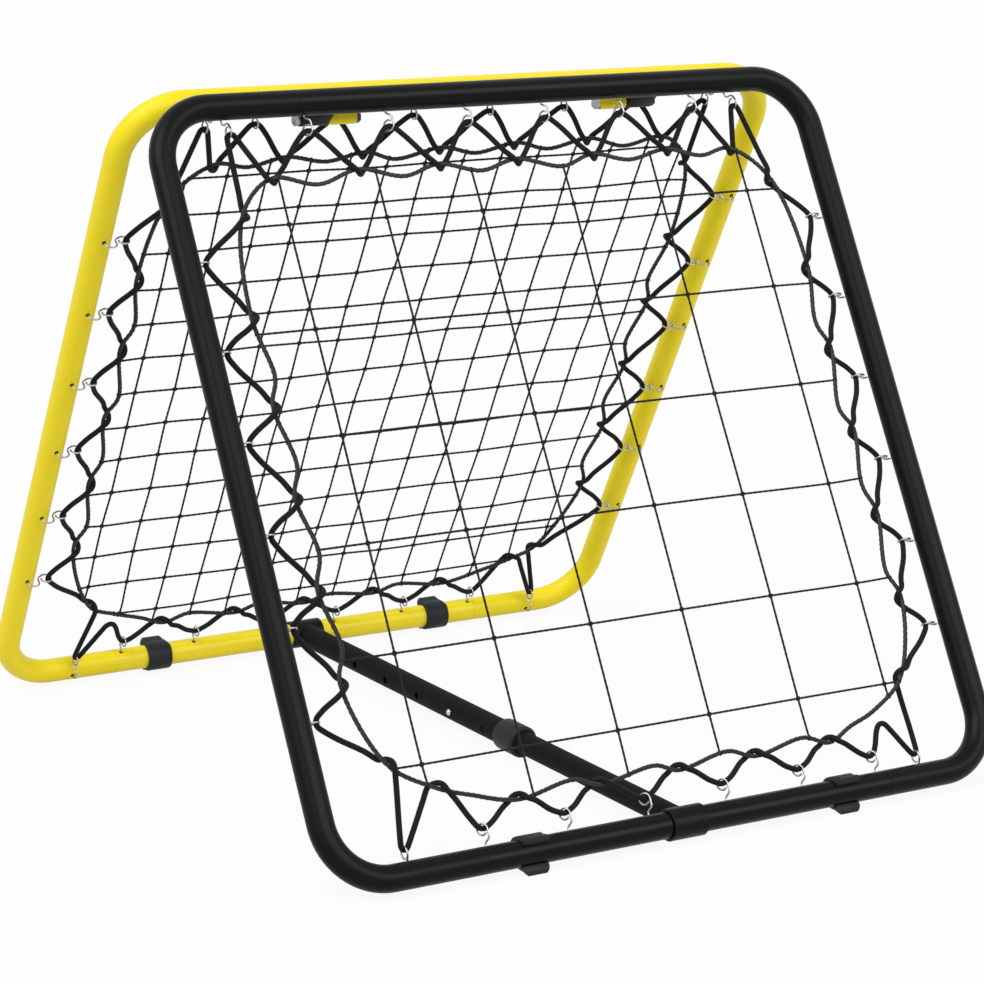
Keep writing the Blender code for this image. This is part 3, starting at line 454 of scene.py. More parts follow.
# The two frames, and what differs between them
FRONT = SimpleNamespace(
    name="front",
    facing=1,
    matrix=frame_matrix(1),
    body="front_frame",
    paint=BLACK_PAINT,
    gloss_paint=BLACK_GLOSS,
    slot="black_paint",
    hook_swing=radians(35),
    lower_wraps=[(0.029, 0.058), (0.078, 0.0255)],
    mesh_pitch=0.1152,
    mesh_shift=0.0075,
    top_twine_drop=0.056,
    net_slack=0.0016,
)
REAR = SimpleNamespace(
    name="rear",
    facing=-1,
    matrix=frame_matrix(-1),
    body="rear_frame",
    paint=YELLOW_PAINT,
    gloss_paint=YELLOW_GLOSS,
    slot="yellow_paint",
    hook_swing=radians(5),
    lower_wraps=[(0.040, 0.043), (0.071, 0.0275)],
    mesh_pitch=0.0490,
    mesh_shift=0.0,
    top_twine_drop=0.0205,
    net_slack=0.0032,
)


# Pieces and their places
def settle(piece, matrix, body, look, node):
    """Put a finished piece in its place, give it its look, hang it on the body that it rides on and hide
    the CAD part that it stands for.
    """
    piece.data.transform(matrix)
    piece.data.materials.clear()
    piece.data.materials.append(look.material)
    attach(piece, body)
    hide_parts(node)


def fit(piece, half, look, node):
    """Put a piece that was drawn flat on its frame."""
    settle(piece, half.matrix, half.body, look, f"{half.name}_{node}")


def select(*pieces):
    bpy.ops.object.select_all(action="DESELECT")
    for piece in pieces:
        piece.select_set(True)
    bpy.context.view_layer.objects.active = pieces[0]


def new_object(name, data):
    made = bpy.data.objects.new(name, data)
    bpy.context.scene.collection.objects.link(made)
    return made


def named(piece, name):
    piece.name = piece.data.name = name
    return piece


def apply_modifier(piece, kind, **settings):
    select(piece)
    made = piece.modifiers.new(kind.lower(), kind)
    for key, value in settings.items():
        setattr(made, key, value)
    bpy.ops.object.modifier_apply(modifier=made.name)


def boolean(piece, operation, other):
    """Cut, trim or join a piece with another one, which is used up."""
    apply_modifier(piece, "BOOLEAN", operation=operation, object=other, solver="EXACT")
    bpy.data.objects.remove(other)


def smooth_shade(piece, angle=SMOOTH_ANGLE):
    select(piece)
    bpy.ops.object.shade_smooth_by_angle(angle=angle)


def soften(piece):
    """Round a piece's sharp edges, and shade the rest of it smooth."""
    limits = {"limit_method": "ANGLE", "angle_limit": SHARP_ANGLE}
    apply_modifier(piece, "BEVEL", width=EDGE_ROUND, segments=2, **limits)
    smooth_shade(piece)


def facing(direction):
    return Vector(direction).to_track_quat("Z", "Y").to_euler()


def pull(length, widen=1.0):
    return "pull", length, widen


def bend(angle, radius, axis, steps=12):
    return "bend", radians(angle), radius, axis, steps


def close_up(capped):
    """Weld the mesh that is being edited, cap it where asked and face it outwards."""
    bpy.ops.mesh.select_all(action="SELECT")
    bpy.ops.mesh.remove_doubles(threshold=WELD_DISTANCE)
    if capped:
        bpy.ops.mesh.fill_holes(sides=0)
        bpy.ops.mesh.select_all(action="SELECT")
    bpy.ops.mesh.normals_make_consistent(inside=False)


def drawn_bar(name, radius, sides, start, heading, moves, capped=True):
    """A round bar: a ring drawn out straight, widened or bent by each move in turn."""
    turn = facing(heading)
    bpy.ops.mesh.primitive_circle_add(vertices=sides, radius=radius, location=start, rotation=turn)
    bar = named(bpy.context.object, name)
    bpy.ops.object.transform_apply(location=True, rotation=True, scale=True)
    bpy.ops.object.mode_set(mode="EDIT")
    bpy.ops.mesh.select_all(action="SELECT")
    place, heading = Vector(start), Vector(heading)
    for kind, amount, *rest in moves:
        if kind == "pull":
            bpy.ops.mesh.extrude_region_move(TRANSFORM_OT_translate={"value": heading * amount})
            place = place + heading * amount
            if rest[0] != 1.0:
                bpy.ops.transform.resize(value=(rest[0],) * 3, center_override=place)
            continue
        bend_radius, axis, steps = rest
        centre = place + axis.cross(heading) * copysign(bend_radius, amount)
        bpy.ops.mesh.spin(steps=steps, angle=-amount, center=centre, axis=axis)
        turn = Matrix.Rotation(amount, 3, axis)
        place = centre + turn @ (place - centre)
        heading = turn @ heading
    close_up(capped)
    bpy.ops.object.mode_set(mode="OBJECT")
    return bar


def turned(name, profile, sides, start, heading):
    """A piece turned from a profile of (length along, radius). A closed profile makes a ring."""
    moves = [pull(end[0] - begin[0], end[1] / begin[1]) for begin, end in zip(profile[:-1], profile[1:])]
    first, radius = profile[0]
    solid = profile[0] != profile[-1]
    return drawn_bar(name, radius, sides, Vector(start) + heading * first, heading, moves, solid)


def rod(start, end, radius, sides):
    """A solid rod from one point to another."""
    bpy.ops.mesh.primitive_cylinder_add(
        vertices=sides,
        radius=radius,
        depth=(end - start).length,
        location=(start + end) / 2,
        rotation=facing(end - start),
    )
    bpy.ops.object.transform_apply(location=True, rotation=True, scale=True)
    return bpy.context.object


def drill(piece, holes, radius, sides):
    """Holes through a wall: each from one point to another."""
    drills = [rod(start, end, radius, sides) for start, end in holes]
    select(*drills)
    bpy.ops.object.join()
    boolean(piece, "DIFFERENCE", drills[0])


def flat_shape(name, outlines, width):
    """A flat outline, with its holes, drawn in X and Y and given its width along Z."""
    curve = bpy.data.curves.new(name, "CURVE")
    curve.dimensions = "2D"
    curve.fill_mode = "BOTH"
    curve.extrude = width / 2
    for outline in outlines:
        spline = curve.splines.new("POLY")
        spline.points.add(len(outline) - 1)
        for point, (x, y) in zip(spline.points, outline):
            point.co = (x, y, 0, 1)
        spline.use_cyclic_u = True
    select(new_object(name, curve))
    bpy.ops.object.convert(target="MESH")
    bpy.ops.object.mode_set(mode="EDIT")
    close_up(capped=False)
    bpy.ops.mesh.dissolve_limited(angle_limit=FLAT_ANGLE)
    bpy.ops.object.mode_set(mode="OBJECT")
    return named(bpy.context.object, name)


def arc(radius, first, last, steps, centre=(0, 0)):
    angles = [first + (last - first) * step / steps for step in range(steps + 1)]
    return [(centre[0] + radius * cos(a), centre[1] + radius * sin(a)) for a in angles]


def circle(radius, sides, centre=(0, 0)):
    return arc(radius, 0, 2 * pi, sides, centre)[:-1]


def midpoints(places):
    return [(first + second) / 2 for first, second in zip(places[:-1], places[1:])]


def evenly_spaced(count, middle):
    return [middle + HOOK_PITCH * (step - (count - 1) / 2) for step in range(count)]


MIDDLE_PLACES = evenly_spaced(MIDDLE_HOOKS, MIDDLE_TUBE_OFFSET)
SIDE_PLACES = evenly_spaced(SIDE_HOOKS, 0)
CORNER_OFFSET = HALF_WIDTH - CORNER_HOOK_INSET


# Frame tubes
def wall_drill(centre, direction, radius=TUBE_RADIUS):
    """The two ends of a drill through a tube's wall on one side."""
    return centre + direction * radius / 2, centre + direction * 1.5 * radius


def middle_drills(row):
    centres = [Vector((place, row * HALF_LENGTH, 0)) for place in MIDDLE_PLACES]
    return [wall_drill(centre, -row * ALONG) for centre in centres]


def side_drills(side):
    centres = [Vector((side * HALF_WIDTH, place, 0)) for place in SIDE_PLACES]
    centres += [Vector((side * CORNER_OFFSET, row * HALF_LENGTH, 0)) for row in (1, -1)]
    return [wall_drill(centre, -OUT) for centre in centres]


def hollow(tube, *drillings):
    """Give a tube its wall and its drilled holes."""
    apply_modifier(tube, "SOLIDIFY", thickness=TUBE_WALL, offset=-1, use_even_offset=True)
    for holes, radius, sides in drillings:
        drill(tube, holes, radius, sides)
    smooth_shade(tube)


def frame_tube(half, name, start, radius_share, heading, moves, drills, look, node):
    radius = TUBE_RADIUS * radius_share
    tube = drawn_bar(f"{half.name}_{name}_tube", radius, TUBE_SIDES, start, heading, moves, capped=False)
    hollow(tube, (drills, HOOK_HOLE_RADIUS, HOOK_HOLE_SIDES))
    fit(tube, half, look, node)


def side_tube(half, name, side):
    """From its spigot in the top tube round both corners to its spigot in the bottom tube."""
    flat_side = side * half.facing
    seam = MIDDLE_RIGHT if flat_side > 0 else MIDDLE_LEFT
    inner = (TUBE_RADIUS - TUBE_WALL - SPIGOT_CLEARANCE) / TUBE_RADIUS
    taper = (1 + 1 / inner) / 2 + TAPER_BULGE
    arm = HALF_WIDTH - BEND_RADIUS - abs(seam) - SEAM_GAP - SPIGOT_TAPER
    corner = bend(-flat_side * 90, BEND_RADIUS, OUT, 20)
    spigot = pull(SPIGOT_LENGTH + SEAM_GAP)
    moves = [spigot, pull(SPIGOT_TAPER / 2, taper), pull(SPIGOT_TAPER / 2, 1 / (inner * taper)), pull(arm)]
    moves += [corner, pull(FRAME_LENGTH - 2 * BEND_RADIUS), corner]
    moves += [pull(arm), pull(SPIGOT_TAPER, inner), spigot]
    start = Vector((seam - flat_side * SPIGOT_LENGTH, HALF_LENGTH, 0))
    drills = side_drills(flat_side) + middle_drills(1) + middle_drills(-1)
    heading = flat_side * ACROSS
    frame_tube(half, name, start, inner, heading, moves, drills, half.paint, f"side_tube_{name}")


def middle_tube(half, name, row, node):
    """A straight tube with its cut ends slightly turned in."""
    lip = TUBE_WALL / 16
    narrow = 1 - lip / TUBE_RADIUS
    moves = [pull(lip, 1 / narrow), pull(MIDDLE_RIGHT - MIDDLE_LEFT - 2 * lip), pull(lip, narrow)]
    start = Vector((MIDDLE_LEFT, row * HALF_LENGTH, 0))
    frame_tube(half, name, start, narrow, ACROSS, moves, middle_drills(row), half.gloss_paint, node)


# Hooks are bent from wire in the plane of (towards the net, out of the frame) from the tube's axis
def wire_hook(name, start, heading, leg, first_bend, rise, second_bend, reach, ring, curl):
    """A hook of bent wire: its ring holds the cord, and its open end is thinner."""
    moves = [pull(leg), first_bend, pull(rise), second_bend, pull(reach), ring, curl]
    moves.append(pull(HOOK_TIP_LENGTH, HOOK_TIP_SHARE))
    return drawn_bar(name, WIRE_RADIUS, WIRE_SIDES, start, heading, moves)


def side_hook():
    """From the inner face's hole in a U round the tube, then over the cord and in a pigtail under it."""
    return wire_hook(
        "side_hook",
        start=OUT * (HOOK_ROOT_DEPTH - TUBE_RADIUS),
        heading=-OUT,
        leg=0.0050,
        first_bend=bend(-178, 0.0068, ALONG, 12),
        rise=0.0026,
        second_bend=bend(58, 0.0070, ALONG, 6),
        reach=0.0036,
        ring=bend(262, SIDE_RING_RADIUS, ALONG, 22),
        curl=bend(70, HOOK_CURL_RADIUS, ALONG, 6),
    )


def middle_hook():
    """From the hole that faces the net, aside and up into a ring round the cord, with a curl at its end."""
    return wire_hook(
        "middle_hook",
        start=ACROSS * (TUBE_RADIUS - HOOK_ROOT_DEPTH),
        heading=ACROSS,
        leg=0.0040,
        first_bend=bend(-55, 0.0042, ALONG, 7),
        rise=0.0027,
        second_bend=bend(55, 0.0046, ALONG, 7),
        reach=0.0071,
        ring=bend(268, MIDDLE_RING_RADIUS, ALONG, 24),
        curl=bend(60, HOOK_CURL_RADIUS, ALONG, 5),
    )


def hook_ring():
    """Every hook in order round the frame: (tube centre, direction to the net, True for a side hook)."""

    def above(place, row, is_side=False):
        return Vector((place, row * HALF_LENGTH, 0)), -row * ALONG, is_side

    def beside(place, side):
        return Vector((side * HALF_WIDTH, place, 0)), -side * ACROSS, True

    ring = [above(-CORNER_OFFSET, 1, True), *(above(x, 1) for x in MIDDLE_PLACES)]
    ring += [above(CORNER_OFFSET, 1, True), *(beside(y, 1) for y in reversed(SIDE_PLACES))]
    ring += [above(CORNER_OFFSET, -1, True), *(above(x, -1) for x in reversed(MIDDLE_PLACES))]
    return ring + [above(-CORNER_OFFSET, -1, True), *(beside(y, -1) for y in SIDE_PLACES)]


def hook_eye(hook):
    centre, inwards, side_hook = hook
    eye = SIDE_EYE if side_hook else MIDDLE_EYE
    return centre + inwards * eye.x + OUT * eye.y


def hook_set(half):
    """A frame's 28 hooks as one piece. Those of the middle tubes are swung in their holes."""
    shapes = {True: side_hook(), False: middle_hook()}
    work = bmesh.new()
    for centre, inwards, is_side in hook_ring():
        turn = Matrix((inwards, OUT.cross(inwards), OUT)).transposed().to_4x4()
        if not is_side:
            turn = turn @ Matrix.Rotation(copysign(half.hook_swing, inwards.y), 4, "X")
        copy = shapes[is_side].data.copy()
        copy.transform(Matrix.Translation(centre) @ turn)
        work.from_mesh(copy)
        bpy.data.meshes.remove(copy)
    for shape in shapes.values():
        bpy.data.objects.remove(shape)
    mesh = bpy.data.meshes.new("hooks")
    work.to_mesh(mesh)
    work.free()
    hooks = named(new_object("hooks", mesh), half.name + "_hooks")
    smooth_shade(hooks, SMOOTH_WIRE_ANGLE)
    fit(hooks, half, WIRE_STEEL, "bungee_with_hooks")


# Lacing: the cord wraps the border rope once between each hook and the next
TOP_WRAPS = [Vector((x, NET_TOP_EDGE, 0)) for x in midpoints(MIDDLE_PLACES)]
BOTTOM_WRAPS = [Vector((x, -NET_BOTTOM_EDGE, 0)) for x in reversed(midpoints(MIDDLE_PLACES))]
LEFT_WRAPS = [Vector((-NET_HALF_WIDTH, y - SIDE_WRAP_DROP, 0)) for y in midpoints(SIDE_PLACES)]
RIGHT_WRAPS = [Vector((-place.x, place.y, 0)) for place in reversed(LEFT_WRAPS)]


def net_corner(side, row, inset):
    edge = NET_TOP_EDGE if row > 0 else -NET_BOTTOM_EDGE
    return Vector((side * (NET_HALF_WIDTH - inset[0]), edge - row * inset[1], 0))


# At this one the cord turns back by itself and grips no rope
FREE_TURN = net_corner(1, -1, LOWER_FREE_TURN)


def top_wraps():
    return [net_corner(-1, 1, TOP_END_WRAP), *TOP_WRAPS, net_corner(1, 1, TOP_END_WRAP)]


def wrap_ring(half):
    """The place of the cord's turn after each hook of the ring."""
    side_wrap, end_wrap = half.lower_wraps
    ring = [*top_wraps(), net_corner(1, 1, TOP_CORNER_WRAP), *RIGHT_WRAPS, net_corner(1, -1, side_wrap)]
    ring += [FREE_TURN, *BOTTOM_WRAPS, net_corner(-1, -1, end_wrap)]
    return ring + [net_corner(-1, -1, side_wrap), *LEFT_WRAPS, net_corner(-1, 1, TOP_CORNER_WRAP)]


def slack_edge(wraps, inwards, lowest):
    """The rope through the wraps of one edge, with its slack drawn into the net between them."""
    route = [wraps[0]]
    for start, end in zip(wraps[:-1], wraps[1:]):
        chance = noise.noise(CHANCE_SCALE * start)
        share = ROPE_SLACK_MIDDLE + ROPE_SLACK_SPREAD * chance
        slack = ROPE_SLACK * ((end - start).length / HOOK_PITCH) ** 2 * share
        route += [start.lerp(end, lowest + ROPE_LOWEST_SPREAD * chance) + inwards * slack, end]
    return route


def rope_route(half):
    """The border rope, clockwise from its top left end, with no slack round the net's corners."""
    side_wrap, end_wrap = half.lower_wraps
    route = slack_edge(top_wraps(), -ALONG, 0.5)
    route += [net_corner(1, 1, TOP_CORNER_WRAP), *slack_edge(RIGHT_WRAPS, -ACROSS, ROPE_LOWEST_PLACE)]
    route += [net_corner(1, -1, inset) for inset in (side_wrap, *ROPE_LOWER_CORNER)]
    route += slack_edge(BOTTOM_WRAPS, ALONG, 1 - ROPE_LOWEST_PLACE)
    route += [net_corner(-1, -1, inset) for inset in (ROPE_LOWER_CORNER[-1], end_wrap, side_wrap)]
    route += [*slack_edge(LEFT_WRAPS, ACROSS, 1 - ROPE_LOWEST_PLACE), net_corner(-1, 1, TOP_CORNER_WRAP)]
    return route


def direction_along(line, place):
    """The way that the rope's smooth line runs past a place."""
    nearest = int(np.argmin(np.linalg.norm(line - np.array(place), axis=1)))
    return Vector(line[(nearest + 3) % len(line)] - line[nearest - 3]).normalized()


def rounded(before, corner, after, steps=6):
    """A bend whose middle lies on the corner, wider where the cord turns less sharply."""
    first, second = (before - corner).normalized(), (after - corner).normalized()
    bisector = (first + second).normalized()
    half = first.angle(second) / 2
    radius = TIGHTEST_BEND + (WIDEST_BEND - TIGHTEST_BEND) * sin(half) ** 2
    centre = corner + bisector * radius
    normal = first.cross(second).normalized()
    turns = [(pi / 2 - half) * (1 - 2 * step / steps) for step in range(steps + 1)]
    return [centre - Matrix.Rotation(turn, 3, normal) @ bisector * radius for turn in turns]


def wrap_points(place, along):
    """Half a turn of the cord: over the rope, round its net side and under it."""
    inwards = along.cross(OUT)
    reach = ROPE_RADIUS + CORD_RADIUS + WRAP_CLEARANCE
    points = []
    for share in np.linspace(-1 / 2, 1 / 2, WRAP_POINTS):
        offset = inwards * cos(pi * share) - OUT * sin(pi * share)
        points.append(place + offset * reach + along * WRAP_RUN * share)
    return points


def swayed(hook_end, wrap_end, inside):
    """Two points of a strand that leaves the hook and meets the wrap in a soft S."""
    run = wrap_end - hook_end
    aside = OUT.cross(run).normalized()
    if aside.dot(inside) > 0:
        aside = -aside
    spread = 1 - inside.length_squared / 4
    sway = CORD_SWAY * run.length * spread * (1 + CORD_SWAY_SPREAD * noise.noise(CHANCE_SCALE * hook_end))
    near_hook, near_wrap = CORD_SWAY_PLACES
    return [hook_end + run * near_hook + aside * sway, hook_end + run * near_wrap - aside * sway]


def cord_route(half, rope):
    """The elastic cord: a bend through each hook, then half a turn round the rope."""
    hooks = [hook_eye(hook) for hook in hook_ring()]
    turns = []
    for hook, place, following in zip(hooks, wrap_ring(half), hooks[1:] + hooks[:1]):
        if place == FREE_TURN:
            turns.append(rounded(hook, place, following))
        else:
            turns.append(wrap_points(place, direction_along(rope, place)))
    route = []
    for index, eye in enumerate(hooks):
        before, after = turns[index - 1][-1], turns[index][0]
        inside = (before - eye).normalized() + (after - eye).normalized()
        bend_points = rounded(before, eye, after)
        route += reversed(swayed(bend_points[0], before, inside))
        route += bend_points + swayed(bend_points[-1], after, inside) + turns[index]
    return route


def smooth_route(points, spacing, closed=True):
    """A centripetal curve through the points, read again at even steps."""
    points = np.array([list(point) for point in points])
    if closed:
        guide = np.vstack([points[-1], points, points[:2]])
    else:
        guide = np.vstack([2 * points[0] - points[1], points, 2 * points[-1] - points[-2]])
    before, start, end, after = guide[:-3], guide[1:-2], guide[2:-1], guide[3:]

    def knot(first, second):
        return np.sqrt(np.linalg.norm(second - first, axis=1))[:, None]

    def between(low, high, first, second):
        return (high - at) / (high - low) * first + (at - low) / (high - low) * second

    one = knot(before, start)
    two = one + knot(start, end)
    three = two + knot(end, after)
    dense = []
    for share in np.arange(0, 1, 1 / READINGS):
        at = one + (two - one) * share
        middle = between(one, two, start, end)
        early = between(0, two, between(0, one, before, start), middle)
        late = between(one, three, middle, between(two, three, end, after))
        dense.append(between(one, two, early, late))
    dense = np.stack(dense, axis=1).reshape(-1, 3)
    dense = np.vstack([dense, dense[:1] if closed else points[-1:]])
    lengths = np.concatenate([[0], np.cumsum(np.linalg.norm(np.diff(dense, axis=0), axis=1))])
    count = max(2, round(lengths[-1] / spacing))
    stops = np.linspace(0, lengths[-1], count + 1)
    even = np.stack([np.interp(stops, lengths, dense[:, axis]) for axis in range(3)], axis=1)
    return even[:-1] if closed else even


class Strands:
    """Swept strands gathered into one mesh, with a map of turns round and metres along each."""

    def __init__(self):
        self.points, self.faces, self.maps, self.count = [], [], [], 0

    def sweep(self, route, outline, turns=0, closed=True, fluff=0.0):
        """Draw an outline of (angle, radius) along the route, twisted by a number of turns a metre."""
        route = np.asarray(route, float)
        ahead = np.roll(route, -1, 0) - np.roll(route, 1, 0)
        if not closed:
            ahead[0], ahead[-1] = route[1] - route[0], route[-1] - route[-2]
        ahead /= np.linalg.norm(ahead, axis=1)[:, None]
        side = np.cross(ahead, OUT)
        side /= np.linalg.norm(side, axis=1)[:, None]
        up = np.cross(side, ahead)
        steps = np.linalg.norm(np.roll(route, -1, 0) - route, axis=1)
        distance = np.concatenate([[0], np.cumsum(steps)])
        total = distance[-1] if closed else distance[-2]
        whole = round(turns * total) if closed else turns * total
        twist = 2 * pi * whole * distance[:-1] / total
        angles, radii = np.array(outline).T
        around = angles + twist[:, None]
        ring = np.cos(around)[..., None] * side[:, None] + np.sin(around)[..., None] * up[:, None]
        places = route[:, None] + ring * (radii + fluff)[..., None]
        rows, sides = around.shape
        spans = rows if closed else rows - 1
        row, column = np.meshgrid(np.arange(spans), np.arange(sides), indexing="ij")
        after, beside = (row + 1) % rows, (column + 1) % sides
        near, far = row * sides, after * sides
        corners = np.stack([near + column, far + column, far + beside, near + beside], axis=-1)
        self.points.append(places.reshape(-1, 3))
        self.faces += (corners.reshape(-1, 4) + self.count).tolist()
        u, v = np.stack([column, column + 1], -1) / sides, distance[np.stack([row, row + 1], -1)]
        lay = np.stack([u[..., [0, 0, 1, 1]], v[..., [0, 1, 1, 0]]], axis=-1)
        self.maps.append(lay.reshape(-1, 2))
        if not closed:
            first = self.count
            last = self.count + (rows - 1) * sides
            self.faces += [list(range(first, first + sides)), list(range(last + sides - 1, last - 1, -1))]
            self.maps.append(np.zeros((2 * sides, 2)))
        self.count += rows * sides

    def piece(self, name):
        mesh = bpy.data.meshes.new(name)
        mesh.from_pydata(np.concatenate(self.points).tolist(), [], self.faces)
        lay = mesh.uv_layers.new(name="lay")
        lay.data.foreach_set("uv", np.concatenate(self.maps).astype(np.float32).ravel())
        mesh.shade_smooth()
        return new_object(name, mesh)


def round_outline(radius, sides):
    return [(2 * pi * step / sides, radius) for step in range(sides)]


def lobed_outline(radius, sides, lobes, depth):
    """A bundle of plies: its radius swells on each."""
    outline = round_outline(radius, sides)
    return [(angle, radius - depth * (1 - abs(cos(lobes * angle / 2)))) for angle, radius in outline]


def twine_places(anchor, pitch, low, high):
    """The twines between two edges of the net, at a whole number of pitches from the anchor."""
    first = anchor - pitch * floor((anchor - low) / pitch)
    return [first + pitch * step for step in range(floor((high - first) / pitch) + 1)]


def crossings(route, axis, value):
    """A straight line's two outermost crossings of the rope, and the rope's direction there."""
    found = []
    for start, end in zip(route, np.roll(route, -1, 0)):
        if (start[axis] - value) * (end[axis] - value) < 0:
            place = start + (end - start) * (value - start[axis]) / (end[axis] - start[axis])
            found.append((place[1 - axis], end - start))
    found.sort(key=lambda crossing: crossing[0])
    return found[0], found[-1]


def knot_route():
    """A trefoil knot, closed."""
    route = []
    for step in range(KNOT_POINTS):
        turn = 4 * pi * step / KNOT_POINTS
        reach = KNOT_REACH * (KNOT_LOOP_MIDDLE + KNOT_LOOP_SPREAD * cos(1.5 * turn))
        rise = KNOT_REACH * KNOT_LOOP_SPREAD * sin(1.5 * turn)
        route.append((reach * cos(turn), reach * sin(turn), rise))
    return np.array(route)


def net(half, rope):
    """Twisted twines knotted where they cross and hitched to the border rope."""
    pitch = half.mesh_pitch
    margin = ROPE_SLACK + 2 * ROPE_RADIUS + 2 * TWINE_RADIUS
    right, top, bottom = NET_HALF_WIDTH - margin, NET_TOP_EDGE - margin, margin - NET_BOTTOM_EDGE
    columns = twine_places(half.mesh_shift + pitch / 2, pitch, -right, right)
    rows = twine_places(NET_TOP_EDGE - half.top_twine_drop, pitch, bottom, top)
    strands = Strands()
    outline = lobed_outline(TWINE_RADIUS, 6, TWINE_PLIES, TWINE_PLY_DEPTH)
    hitch = np.array([(*point, 0) for point in circle(ROPE_RADIUS + HITCH_RADIUS / 2, 14)])
    knot = knot_route()

    def strayed(axis, value, stop, slack):
        """Where a point of the net lies: off its flat drawing, but for a twine's ends."""
        point = np.array((value, stop, 0) if axis == 0 else (stop, value, 0))
        away = noise.noise_vector(Vector(point) / (NET_WAVE_PITCHES * pitch) + ACROSS * pitch)
        return point + np.array((away.x, away.y, NET_RISE_SHARE * away.z)) * slack

    for axis, places, crossers in ((0, columns, rows), (1, rows, columns)):
        for value in places:
            (low, low_along), (high, high_along) = crossings(rope, axis, value)
            inner = [place for place in crossers if low < place < high]
            points = [strayed(axis, value, stop, half.net_slack) for stop in inner]
            points = [strayed(axis, value, low, 0), *points, strayed(axis, value, high, 0)]
            line = smooth_route(points, TWINE_STEP, closed=False)
            strands.sweep(line, outline, TWINE_TURNS, closed=False)
            for point, rope_along in ((points[0], low_along), (points[-1], high_along)):
                turn = np.array(Vector(rope_along).to_track_quat("Z", "Y").to_matrix())
                strands.sweep(hitch @ turn.T + point, round_outline(HITCH_RADIUS, 6))
            if axis == 0:
                for point in points[1:-1]:
                    strands.sweep(knot + point, round_outline(KNOT_STRAND_RADIUS, 5))
    fit(strands.piece(half.name + "_net_twine"), half, NET_TWINE, "net")


def make_lacing(half):
    """A frame's hooks, elastic cord, fluffy laid border rope and net."""
    hook_set(half)
    rope = smooth_route(rope_route(half), ROPE_STEP)
    cord, border = Strands(), Strands()
    cord.sweep(smooth_route(cord_route(half, rope), CORD_STEP), round_outline(CORD_RADIUS, CORD_SIDES))
    fit(cord.piece(half.name + "_elastic_cord"), half, CORD_COVER, "bungee_with_hooks")
    outline = lobed_outline(ROPE_RADIUS, ROPE_SIDES, ROPE_PLIES, ROPE_PLY_DEPTH)
    fluff = np.random.default_rng(CHANCE_SEED).normal(0, ROPE_FLUFF, (len(rope), ROPE_SIDES))
    border.sweep(rope, outline, ROPE_TURNS, fluff=fluff)
    fit(border.piece(half.name + "_net_rope"), half, ROPE_YARN, "border_rope")
    net(half, rope)


# Clip feet
def foot_outline():
    """The clip's section: a split ring with a flat lip above and below its mouth."""
    bore = TUBE_RADIUS + SEAT_GAP
    outer, top = bore + FOOT_WALL, bore + FOOT_WALL + FOOT_LIP_STEP
    mouth, root = FOOT_MOUTH_HALF_ANGLE, FOOT_LIP_ROOT_ANGLE
    upper_lip = [(TUBE_RADIUS, top - FOOT_LIP_THICKNESS), (TUBE_RADIUS, top)]
    upper_lip.append((TUBE_RADIUS - FOOT_LIP_WIDTH, top))
    lower_lip = [(x, -y) for x, y in reversed(upper_lip)]
    outline = arc(bore, 2 * pi - mouth, mouth, steps=48) + upper_lip
    return outline + arc(outer, root, 2 * pi - root, steps=40) + lower_lip


def clip_foot(half, side_name, side):
    """A clip that grips a bottom tube between its last two hooks, and stands on its lower lip."""
    name = f"{half.name}_foot_{side_name}"
    top = TUBE_RADIUS + SEAT_GAP + FOOT_WALL + FOOT_LIP_STEP
    end = FOOT_WIDTH / 2
    upright = Matrix.Rotation(pi / 2, 4, "X")
    clip = flat_shape(name + "_clip", [foot_outline()], FOOT_WIDTH)
    clip.data.transform(Matrix.Rotation(-pi / 2, 4, "Z") @ upright)
    blank = [(end, TUBE_RADIUS), (end - FOOT_CHAMFER, top)]
    blank += [(-x, y) for x, y in reversed(blank)]
    blank += [(x, -y) for x, y in reversed(blank)]
    envelope = flat_shape("blank", [blank], 4 * TUBE_RADIUS)
    envelope.data.transform(upright)
    boolean(clip, "INTERSECT", envelope)
    soften(clip)
    inset = side * half.facing * HOOK_PITCH * (MIDDLE_HOOKS - 2) / 2
    across = half.facing * (MIDDLE_TUBE_OFFSET + inset)
    place = (across, -half.facing * BOTTOM_REACH, BOTTOM_HEIGHT)
    stand = Matrix.Translation(place) @ half_turn(half.facing)
    settle(clip, stand, half.body, PLASTIC, name)


# Hinges
def knuckle(half, side_name, across):
    """A hinge knuckle: a bolt barrel on a web that is saddled on the top tube."""
    name = f"{half.name}_hinge_knuckle_{side_name}"
    axis = half.matrix.inverted() @ Vector((0, 0, HINGE_HEIGHT)) - ALONG * HALF_LENGTH
    heading = atan2(axis.z, axis.y)
    barrel = (hypot(axis.y, axis.z), 0)
    outline = arc(TUBE_RADIUS + SEAT_GAP, SADDLE_HALF_ANGLE, -SADDLE_HALF_ANGLE, steps=10)
    outline += arc(KNUCKLE_RADIUS, -BARREL_HALF_ANGLE, BARREL_HALF_ANGLE, steps=28, centre=barrel)
    bore = circle(BOLT_RADIUS + SEAT_GAP, BOLT_SIDES, barrel)
    piece = flat_shape(name + "_barrel", [outline, bore], KNUCKLE_LENGTH)
    soften(piece)
    section_axes = Matrix((OUT, ACROSS, ALONG)).to_4x4()
    place = Matrix.Translation((across * half.facing, HALF_LENGTH, 0))
    seat = place @ section_axes @ Matrix.Rotation(heading, 4, "Z")
    settle(piece, half.matrix @ seat, half.body, half.paint, name)


